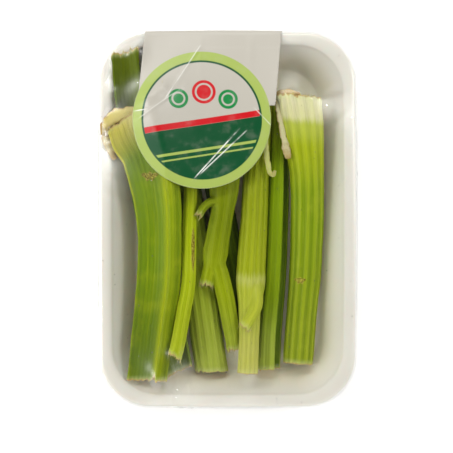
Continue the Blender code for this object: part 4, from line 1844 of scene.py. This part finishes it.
@dataclass(frozen=True)
class Crease:
    """A crease in the sticker.

    Attributes:
        start: One end, in millimetres.
        end: The other end.
        width: Half its width, in millimetres.
        height: How far it stands up, in millimetres.
        crack_and_highlight: How much of the ink along it is gone, from 0 to 1, which also paints the
            highlight on the fold.
    """

    start: tuple[float, float]
    end: tuple[float, float]
    width: float
    height: float
    crack_and_highlight: float = 0.4

    def rise(self, x: np.ndarray, y: np.ndarray) -> np.ndarray:
        """How far it lifts the paper.

        Args:
            x: Places along X, in millimetres.
            y: Places along Y.

        Returns:
            The lift at each place in millimetres.
        """
        start, end = np.array(self.start), np.array(self.end)
        length = np.linalg.norm(end - start)
        line = (end - start) / length
        run = ((x - start[0]) * line[0] + (y - start[1]) * line[1]) / length
        off = (x - start[0]) * -line[1] + (y - start[1]) * line[0]
        fade = np.clip(np.minimum(run, 1.0 - run) * 6.0 + 0.5, 0.0, 1.0) * ((run > -0.08) & (run < 1.08))
        return self.height * fade * np.exp(-(off / self.width) ** 2)


@dataclass(frozen=True)
class Sticker:
    """The sticker: a round field below a straight tab that folds over the rim.

    Attributes:
        centre: Middle of the round field, in millimetres.
        radius: Its radius, in millimetres.
        sides: Left and right edge of the tab at the rim, in millimetres.
        lean: How far the tab leans to the right for each millimetre along +Y.
        rim: Place of the rim along +Y, in millimetres.
        shoulders: How far above the middle the tab starts on the left and on the right, in millimetres.
        low_end: Height of the tab's lower edge outside the rim, in millimetres.
        pivot: Place and height, in millimetres, round which the tab's path turns over the rim.
        step: Size of its faces, in millimetres.
        gap: Distance off the film, in millimetres.
        thickness: Thickness of the paper, in millimetres.
        creases: Its creases.
    """

    centre: tuple[float, float] = (-14.3, 55.5)
    radius: float = 38.4
    sides: tuple[float, float] = (-46.8, 29.8)
    lean: float = 0.09
    rim: float = 100.0
    shoulders: tuple[float, float] = (14.0, 8.0)
    low_end: float = 9.5
    pivot: tuple[float, float] = (96.0, 12.0)
    step: float = 0.7
    gap: float = 0.12
    thickness: float = 0.14
    creases: tuple[Crease, ...] = (
        Crease((-35.0, 66.0), (-15.0, 98.0), 0.8, 0.45, 0.45),
        Crease((-18.4, 23.0), (6.5, 50.5), 0.6, 0.5, 0.9),
        Crease((-15.5, 25.0), (10.5, 49.5), 0.6, 0.4, 0.8),
        Crease((-49.0, 56.0), (-24.0, 74.0), 0.9, 0.4, 0.3),
        Crease((-52.0, 60.0), (-44.0, 61.0), 0.5, 0.3, 0.7),
        Crease((15.0, 62.0), (24.5, 52.0), 0.7, 0.35, 0.5),
    )

    def build(self, film: Object, finish: StickerFinish) -> Object:
        """Makes the sticker on the film.

        Args:
            film: The film that it sticks to.
            finish: Its look.

        Returns:
            The piece.
        """
        step = self.step * coarser()
        below_rim, past_rim = 40.0, 8.0
        left = min(self.centre[0] - self.radius, self.sides[0] - self.lean * below_rim)
        right = max(self.centre[0] + self.radius, self.sides[1] + self.lean * past_rim)
        low = self.centre[1] - self.radius
        columns = int((right - left) / step)
        tree = surface(film)
        path = self.path(tree, low, int((self.pivot[0] - low) / step))
        bm = bmesh.new()
        bmesh.ops.create_grid(bm, x_segments=columns, y_segments=len(path) - 1, size=0.5)
        for index, vert in enumerate(bm.verts):
            row, column = divmod(index, columns + 1)
            vert.co = self.on_film(tree, left + (right - left) * column / columns, path[row])
        self.trim(bm, step)
        bm.normal_update()
        bmesh.ops.recalc_face_normals(bm, faces=bm.faces)
        piece = finished("sticker", bm, finish.material())
        thickened(piece, self.thickness, 1.0)
        applied(piece)
        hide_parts("label")
        return piece

    def path(self, tree: BVHTree, low: float, flat_rows: int) -> list[tuple[float, float]]:
        """The sticker's rows as rays: straight down from a place along +Y, then turning over the rim.

        Args:
            tree: The film.
            low: Place of the first row, in millimetres.
            flat_rows: How many rows lie on top.

        Returns:
            Each row as (place along +Y, turn in radians), where the turn is 0 on top.
        """
        outermost, steep, least_reach = math.radians(115.0), math.radians(60.0), 4.0 * MM
        rows = [(low + (self.pivot[0] - low) * i / flat_rows, 0.0) for i in range(flat_rows)]
        turn = 0.0
        while turn < outermost:
            hit = self.cast(tree, 0.0, self.pivot[0], turn)
            if hit is None or (turn > steep and hit.z < self.low_end * MM):
                break
            rows.append((self.pivot[0], turn))
            reach = math.hypot(hit.y - self.pivot[0] * MM, hit.z - self.pivot[1] * MM)
            turn += self.step * MM / max(reach, least_reach)
        return rows

    def cast(self, tree: BVHTree, x: float, y: float, turn: float) -> Vector | None:
        """Where a ray from below the film leaves it.

        Args:
            tree: The film.
            x: Place along X that it starts at, in millimetres.
            y: Place along Y.
            turn: Its turn from straight up towards +Y, in radians.

        Returns:
            The place in metres, or None where it misses.
        """
        start = Vector((x * MM, y * MM, self.pivot[1] * MM))
        return tree.ray_cast(start, Vector((0.0, math.sin(turn), math.cos(turn))))[0]

    def on_film(self, tree: BVHTree, x: float, row: tuple[float, float]) -> Vector:
        """A point of the sticker just off the film.

        Args:
            tree: The film.
            x: Its place along X, in millimetres.
            row: Its row from the path.

        Returns:
            The point in metres.
        """
        place, turn = row
        outward = Vector((0.0, math.sin(turn), math.cos(turn)))
        hit = self.cast(tree, x, place, turn) if turn else None
        if hit is None:
            hit = tree.ray_cast(Vector((x * MM, place * MM, ABOVE)), DOWN)[0]
        lift = self.gap
        if turn == 0.0:
            lift += float(sum(crease.rise(np.array(x), np.array(place)) for crease in self.creases))
        return hit + outward * lift * MM

    def trim(self, bm: bmesh.types.BMesh, step: float) -> None:
        """Cuts the grid to the sticker's outline and pulls the cut edge onto it.

        Args:
            bm: The grid on the film.
            step: Size of its faces, in millimetres.
        """
        centre = Vector((*self.centre, 0.0))

        def outside(x: float, y: float) -> float:
            """How far a place lies outside the outline.

            Args:
                x: Place along X, in millimetres.
                y: Place along Y.

            Returns:
                The distance in millimetres, less than 0 inside.
            """
            disc = math.hypot(x - centre.x, y - centre.y) - self.radius
            shoulder = centre.y + self.shoulders[x > centre.x]
            straight = x - self.lean * (y - self.rim)
            tab = max(self.sides[0] - straight, straight - self.sides[1], shoulder - y)
            return min(disc, tab)

        middles = [(face, face.calc_center_median() / MM) for face in bm.faces]
        doomed = [face for face, middle in middles if outside(middle.x, middle.y) > 0.0]
        bmesh.ops.delete(bm, geom=doomed, context="FACES")
        under_the_rim, rounds, probe = 19.0 * MM, 3, 0.01
        for vert in bm.verts:
            if not vert.is_boundary or vert.co.z < under_the_rim:
                continue
            x, y = vert.co.x / MM, vert.co.y / MM
            for _ in range(rounds):
                off = outside(x, y)
                slope_x = outside(x + probe, y) - off
                slope_y = outside(x, y + probe) - off
                size = math.hypot(slope_x, slope_y)
                if abs(off) > 1.5 * step or size < 1e-6:
                    break
                x -= off * slope_x / size
                y -= off * slope_y / size
            vert.co.x, vert.co.y = x * MM, y * MM


@dataclass(frozen=True)
class Softbox:
    """A large soft lamp aimed at the pack.

    Attributes:
        name: Its name.
        tilt: Angle from straight up, in degrees.
        heading: Direction on the plan that it stands in, in degrees from +X.
        size: Width and height in metres.
        power: Power in watts.
        distance: Distance in metres.
    """

    name: str
    tilt: float
    heading: float
    size: tuple[float, float]
    power: float
    distance: float = 1.3

    def build(self) -> None:
        """Hangs the lamp."""
        tilt, heading = math.radians(self.tilt), math.radians(self.heading)
        aside = math.sin(tilt)
        away = Vector((aside * math.cos(heading), aside * math.sin(heading), math.cos(tilt)))
        lamp = bpy.data.lights.new(self.name, "AREA")
        lamp.shape = "RECTANGLE"
        lamp.size, lamp.size_y = self.size
        lamp.energy = self.power
        obj = bpy.data.objects.new(self.name, lamp)
        obj.location = away * self.distance
        obj.rotation_euler = away.to_track_quat("Z", "Y").to_euler()
        bpy.context.scene.collection.objects.link(obj)


@dataclass(frozen=True)
class Studio:
    """The pale table, the soft lamps and the camera straight above.

    Attributes:
        aim: Place on the plan under the camera, in millimetres.
        height: Height of the camera above the table, in metres.
        lens: Focal length on a 36 mm sensor, in millimetres.
        lamps: The lamps.
        fill: Strength of the even light from the sides.
        shade: Heights, as the sine of the angle above the table, between which the even light fades out
            towards the place straight above, where the camera's dark body hangs.
        glow: How strongly the table is lit from below, as a light table.
    """

    aim: tuple[float, float] = (-0.67, -3.93)
    height: float = 0.82
    lens: float = 113.2
    lamps: tuple[Softbox, ...] = (
        Softbox("lamp_front", 46.0, -78.0, (1.0, 0.35), 3.8),
        Softbox("lamp_back", 46.0, 97.0, (1.0, 0.35), 4.8),
        Softbox("lamp_left", 60.0, 186.0, (0.35, 0.8), 7.4),
        Softbox("lamp_right", 46.0, 14.0, (0.4, 0.4), 5.0),
        Softbox("lamp_corner", 52.0, 140.0, (0.25, 0.25), 3.0),
    )
    fill: float = 0.85
    shade: tuple[float, float] = (0.6, 0.88)
    glow: float = 0.12

    def build(self) -> None:
        """Sets up the table, lamps, even light and camera."""
        scene = bpy.context.scene
        scene.view_settings.view_transform = "Standard"
        bm = bmesh.new()
        bmesh.ops.create_grid(bm, x_segments=2, y_segments=2, size=1.5)
        mesh = bpy.data.meshes.new("table")
        bm.to_mesh(mesh)
        bm.free()
        material, graph, shader = blank_material("table_white")
        grain = graph.noise(graph.add("TexCoord").outputs["Object"], scale=300.0)
        graph.fill(shader, {
            "Base Color": graph.mix(grain, paint(252, 252, 252), paint(250, 250, 250)),
            "Roughness": 0.8,
            "Emission Color": (1.0, 1.0, 1.0, 1.0),
            "Emission Strength": self.glow,
        })
        mesh.materials.append(material)
        table = bpy.data.objects.new("table", mesh)
        table.location.z = -0.5 * MM
        scene.collection.objects.link(table)
        for lamp in self.lamps:
            lamp.build()
        world = bpy.data.worlds.new("studio")
        world.use_nodes = True
        graph = Graph(world.node_tree)
        upward = graph.axes(graph.add("TexCoord").outputs["Generated"])[2]
        sky = world.node_tree.nodes["Background"]
        open_sky = graph.step(upward, self.shade[1], self.shade[0])
        strength = graph.times(open_sky, self.fill)
        graph.fill(sky, {"Color": (1.0, 1.0, 1.0, 1.0), "Strength": strength})
        scene.world = world
        lens = bpy.data.cameras.new("camera")
        lens.lens = self.lens
        lens.clip_start = 0.05
        camera = bpy.data.objects.new("camera", lens)
        camera.location = (self.aim[0] * MM, self.aim[1] * MM, self.height)
        scene.collection.objects.link(camera)
        scene.camera = camera


YELLOWISH = paint(186, 192, 42)
MID_GREEN = paint(128, 154, 2)
# Green of the hidden stalk, darkened by painted shade as it lies deep in the gaps between the others.
DEEP_SHADE_GREEN = paint(68, 86, 0)

STALKS = (
    Stalk(
        "stalk_back_left",
        Stem(stations(
            (-57.4, 94.0, 14.2, 8.5, -1.4), (-56.4, 80.0, 15.4, 10.5, -0.4), (-53.9, 58.9, 15.8, 12.5),
            (-48.2, 25.2, 15.8, 12.5), (-42.0, -8.8, 15.8, 12.5), (-34.6, -49.0, 15.4, 12.0),
            (-27.2, -85.7, 14.8, 11.5),
        ), CHANNEL_UP, cuts=(-10.0, -14.0), ends=(Cut.TORN, Cut.ROUGH)),
        # Its dark green is partly its own and partly painted shade, lowered for the shade between the
        # stalks.
        CeleryFinish(
            "celery_dark", ((0.0, paint(90, 104, 6)), (0.4, paint(84, 108, 2)), (1.0, paint(112, 128, 40))),
            channel=paint(92, 108, 6), rib=paint(120, 140, 16), rib_share=0.2, reach=1.6, offset=11.0,
        ),
        seed=20,
    ),
    Stalk(
        "stalk_under_middle",
        Stem(stations(
            (-31.5, 66.0, 17.0, 14.0), (-26.6, 34.0, 17.2, 14.0), (-21.5, 0.0, 17.4, 14.0),
            (-16.3, -34.4, 17.4, 14.0), (-12.0, -66.3, 17.6, 14.0), (-9.0, -86.0, 17.8, 13.5),
        ), ARCHED, cuts=(0.0, 8.0)),
        CeleryFinish(
            "celery_broad_back", ((0.0, MID_GREEN), (0.6, paint(172, 190, 38)), (1.0, paint(170, 183, 70))),
            channel=paint(132, 154, 14), rib=paint(172, 182, 74), reach=0.6, offset=23.0,
        ),
        seed=30,
    ),
    Stalk(
        "stalk_hidden",
        Stem(stations(
            (-14.1, 68.0, 13.4, 12.0), (-8.9, 36.9, 13.6, 12.0), (-3.0, 4.0, 13.8, 12.0),
            (4.6, -34.0, 13.8, 12.0), (11.0, -69.0, 13.4, 11.0),
        ), ARCHED),
        CeleryFinish(
            "celery_shaded", ((0.0, DEEP_SHADE_GREEN), (1.0, DEEP_SHADE_GREEN)), channel=DEEP_SHADE_GREEN, rib=paint(100, 124, 6), offset=37.0,
        ),
        seed=40,
    ),
    Stalk(
        "stalk_green",
        Stem(stations(
            (29.0, 66.0, 10.8, 9.0), (29.7, 45.1, 11.4, 9.5), (29.6, 24.1, 12.4, 10.0),
            (28.6, -7.6, 13.4, 10.5), (27.3, -34.3, 13.7, 10.5), (24.8, -62.6, 14.3, 10.0),
            (23.8, -84.7, 14.2, 9.5),
        ), TURNED_RIGHT, cuts=(0.0, -5.0)),
        CeleryFinish(
            "celery_mid_green",
            ((0.0, paint(150, 168, 34)), (0.3, paint(134, 162, 0)), (0.7, paint(129, 154, 4)),
             (1.0, paint(168, 182, 76))),
            # Its channel's dark green is painted shade inside the channel, which faces right.
            channel=paint(92, 118, 0), rib=paint(142, 160, 26), rib_share=0.25, offset=41.0,
        ),
        seed=50,
    ),
    Stalk(
        "stalk_ribbed_right",
        Stem(stations(
            (39.4, 69.5, 23.6, 14.0), (41.8, 54.0, 23.0, 16.0), (43.4, 40.0, 20.6, 17.0),
            (44.9, 23.0, 18.2, 17.5), (45.2, 2.0, 18.0, 17.5), (44.2, -28.0, 17.4, 17.0),
            (42.1, -53.0, 16.6, 16.0), (39.9, -81.3, 16.2, 15.0),
        ), ARCHED, cuts=(14.0, 0.0), ends=(Cut.TORN, Cut.CLEAN)),
        CeleryFinish(
            "celery_ribbed",
            ((0.0, paint(244, 238, 208)), (0.075, paint(236, 230, 190)), (0.11, paint(192, 202, 84)),
             (0.2, paint(172, 186, 20)), (0.4, paint(132, 160, 0)), (1.0, paint(136, 154, 24))),
            channel=paint(116, 136, 0), rib=paint(186, 194, 50), rib_share=0.6, groove=0.34, reach=1.2,
            offset=53.0,
        ),
        scars=(Scar(40.9, -34.1, 6.4, 3.4),),
        seed=60,
    ),
    Stalk(
        "stalk_broad_left",
        Stem(stations(
            (-51.5, 61.3, 35.0, 11.0), (-49.0, 51.0, 35.0, 13.0), (-44.0, 38.0, 31.6, 14.0),
            (-40.3, 18.2, 27.6, 14.0), (-38.4, -3.1, 24.8, 13.5), (-39.0, -34.0, 24.4, 13.0),
            (-42.3, -62.2, 23.0, 12.5), (-45.4, -90.0, 22.0, 12.0),
        ), TURNED_LEFT, cuts=(-24.0, -6.0), ends=(Cut.TORN, Cut.ROUGH), notch=(0.784, 0.014, 4.0)),
        CeleryFinish(
            "celery_broad_left",
            ((0.0, paint(212, 198, 104)), (0.1, paint(200, 192, 80)), (0.2, paint(158, 168, 34)),
             (0.4, MID_GREEN), (1.0, paint(108, 128, 2))),
            channel=paint(118, 146, 0), rib=paint(182, 190, 30), rib_share=0.5, dimming=0.5, reach=1.6,
            offset=67.0,
        ),
        scars=(Scar(-43.6, 24.6, 9.6, 4.8),),
        seed=70,
    ),
    Stalk(
        "stalk_thin",
        Stem(stations(
            (-20.6, 66.9, 7.4, 7.0), (-21.0, 18.2, 7.4, 7.0), (-21.6, -5.9, 7.6, 7.0),
            (-22.0, -34.0, 7.8, 7.2), (-24.6, -51.0, 7.8, 7.2), (-27.6, -68.0, 7.7, 7.0),
            (-29.6, -76.0, 7.6, 7.0),
        ), STEM, cuts=(0.0, 20.0), ends=(Cut.ROUGH, Cut.TORN)),
        CeleryFinish(
            "celery_thin", ((0.0, YELLOWISH), (0.5, paint(180, 197, 6)), (1.0, paint(167, 181, 24))),
            channel=paint(140, 156, 12), rib=paint(192, 198, 62), rib_share=0.25, reach=1.3, offset=71.0,
        ),
        scars=(Scar(-19.4, -20.0, 2.0, 27.0, 0.12),),
        slot="stalk_pale_green",
        seed=80,
    ),
    Stalk(
        "stalk_forked",
        Stem(stations(
            (0.7, 74.0, 18.0, 10.5), (-0.4, 44.6, 17.6, 10.8), (-2.0, 18.2, 16.4, 11.0),
            (-3.0, 5.3, 13.0, 11.0), (-5.4, -9.0, 13.0, 10.5), (-7.4, -21.5, 13.8, 10.2),
            (-8.2, -28.5, 8.6, 7.6, 0.2),
        ), STEM, ends=(Cut.ROUGH, Cut.GROWN), shares=(0.0, 0.7)),
        CeleryFinish(
            "celery_forked",
            ((0.0, paint(120, 134, 2)), (0.5, paint(124, 140, 2)), (0.75, paint(156, 171, 12)),
             (1.0, paint(162, 176, 54))),
            channel=paint(110, 126, 4), rib=paint(170, 180, 50), rib_share=0.25, reach=1.1, offset=83.0,
        ),
        limbs=(
            Stem(stations(
                (-7.2, -19.5, 8.6, 8.4, 0.6), (-3.9, -32.5, 9.8, 8.6), (-1.0, -44.5, 9.7, 8.4),
                (1.9, -61.2, 8.9, 8.2), (3.9, -73.2, 7.6, 7.6),
            ), STEM, ends=(Cut.GROWN, Cut.TORN), shares=(0.6, 1.0)),
            Stem(stations(
                (-8.4, -19.5, 7.2, 7.6, 0.2), (-10.0, -28.0, 8.2, 8.0, 0.3),
                (-12.0, -36.6, 7.8, 7.4, 0.6),
            ), STEM, ends=(Cut.GROWN, Cut.TORN), shares=(0.6, 0.8)),
            Stem(stations(
                (-4.6, 10.0, 5.4, 5.0, 2.4), (-8.8, 10.4, 5.0, 4.6, 3.0), (-13.0, 7.6, 4.4, 4.2, 3.4),
                (-16.2, 2.6, 4.0, 3.4, 3.4),
            ), SHOOT, ends=(Cut.GROWN, Cut.TORN), shares=(0.4, 0.6)),
        ),
        slot="stalk_pale_green",
        seed=90,
    ),
    Stalk(
        "stalk_pale",
        Stem(stations(
            (19.9, 77.4, 11.4, 13.0), (17.6, 47.6, 12.6, 13.5), (15.9, 23.9, 13.6, 14.0),
            (15.0, 2.0, 14.4, 14.5), (13.4, -24.0, 15.2, 14.5), (12.9, -37.0, 15.6, 15.0),
            (12.4, -48.0, 12.0, 12.0), (12.2, -62.5, 10.6, 10.5), (11.2, -86.0, 10.6, 10.0),
        ), ARCHED, ends=(Cut.ROUGH, Cut.CLEAN)),
        CeleryFinish(
            "celery_pale",
            ((0.0, paint(152, 162, 30)), (0.3, paint(147, 160, 8)), (0.64, paint(164, 175, 20)),
             (0.675, paint(194, 198, 98)), (0.715, paint(182, 190, 56)), (1.0, paint(200, 198, 104))),
            channel=paint(150, 160, 30), rib=paint(188, 192, 70), rib_share=0.3, reach=0.7, offset=97.0,
        ),
        limbs=(
            Stem(stations(
                (15.2, -33.0, 7.0, 5.0, 3.8), (16.2, -41.5, 7.2, 5.2, 5.6),
                (15.4, -49.5, 6.8, 5.0, 6.6), (9.4, -60.0, 6.6, 4.6, 6.8),
            ), SHOOT, ends=(Cut.GROWN, Cut.TORN), shares=(0.695, 0.74)),
        ),
        slot="stalk_pale_green",
        seed=100,
    ),
)


PEELS = (
    Peel("peel_left_rim", folds(
        (-52.0, 61.0, 24.6, 4.0, 0.0, 0.6), (-57.5, 59.6, 24.4, 6.4, 6.0, 1.0),
        (-63.0, 57.4, 23.8, 8.0, 14.0, 1.4), (-67.2, 53.0, 22.6, 8.0, 24.0, 1.5),
        (-68.8, 47.0, 21.8, 5.4, 24.0, 0.9),
    ), light=paint(212, 198, 120), dark=paint(142, 104, 40), thickness=0.8, seed=3),
    Peel("peel_left_flap", folds(
        (-69.0, 52.0, 21.8, 5.0, 30.0, 0.7), (-68.0, 45.5, 21.4, 5.6, 24.0, 0.9),
        (-65.8, 39.5, 20.8, 4.8, 12.0, 0.7), (-63.4, 33.6, 20.0, 2.4, 0.0, 0.3),
    ), light=paint(214, 198, 148), dark=paint(170, 134, 78), seed=11),
    Peel("peel_right_flap", folds(
        (28.0, 70.0, 22.0, 3.2, 20.0, 0.4), (28.8, 62.0, 22.2, 4.4, 24.0, 0.7),
        (30.2, 53.0, 22.0, 4.2, 28.0, 0.7), (31.6, 45.0, 21.8, 3.8, 20.0, 0.6),
        (33.2, 38.0, 21.8, 4.8, 10.0, 0.4), (34.0, 34.0, 22.0, 2.8, 0.0, 0.2),
    ), light=paint(216, 206, 160), dark=paint(168, 138, 76), seed=17),
    Peel("peel_right_corner", folds(
        (27.4, 67.5, 21.4, 3.0, 40.0, 0.6), (29.6, 70.6, 22.4, 4.0, 20.0, 0.9),
        (34.5, 71.0, 23.2, 3.6, 0.0, 0.8), (40.5, 69.8, 23.4, 2.0, 0.0, 0.4),
    ), light=paint(206, 184, 132), dark=paint(146, 106, 46), thickness=0.6, seed=23),
    Peel("peel_middle_strip", folds(
        (21.0, 50.0, 22.6, 3.0, 0.0, 0.4), (21.2, 42.0, 22.8, 3.2, 10.0, 0.6),
        (22.2, 33.0, 22.8, 3.2, 16.0, 0.6), (23.4, 27.0, 23.0, 2.8, 10.0, 0.5),
        (25.6, 24.8, 23.6, 2.2, 0.0, 0.4), (26.6, 27.4, 24.0, 1.6, 0.0, 0.2),
    ), light=paint(196, 198, 116), dark=paint(178, 168, 96), seed=29),
)


def main() -> None:
    """Builds the pack and the studio round it."""
    logging.basicConfig(level=logging.INFO, format="%(relativeCreated)6d ms  %(message)s")
    outline = TrayOutline()
    strings, browning = strings_group(), browning_group()
    contents = [FoamTray(outline).build(FoamFinish())]
    log.info("foam_tray: %d vertices", len(contents[0].data.vertices))
    for stalk in STALKS:
        contents.append(stalk.build(strings, browning))
        log.info("%s: %d vertices", contents[-1].name, len(contents[-1].data.vertices))
    contents += [peel.build() for peel in PEELS]
    film = StretchFilm(outline).build(contents, FilmFinish())
    log.info("stretch_film: %d vertices", len(film.data.vertices))
    sticker = Sticker()
    paper = sticker.build(film, StickerFinish(
        "sticker_print", sticker.centre, sticker.radius, creases=sticker.creases,
    ))
    log.info("sticker: %d vertices", len(paper.data.vertices))
    Studio().build()


if __name__ == "__main__":
    main()
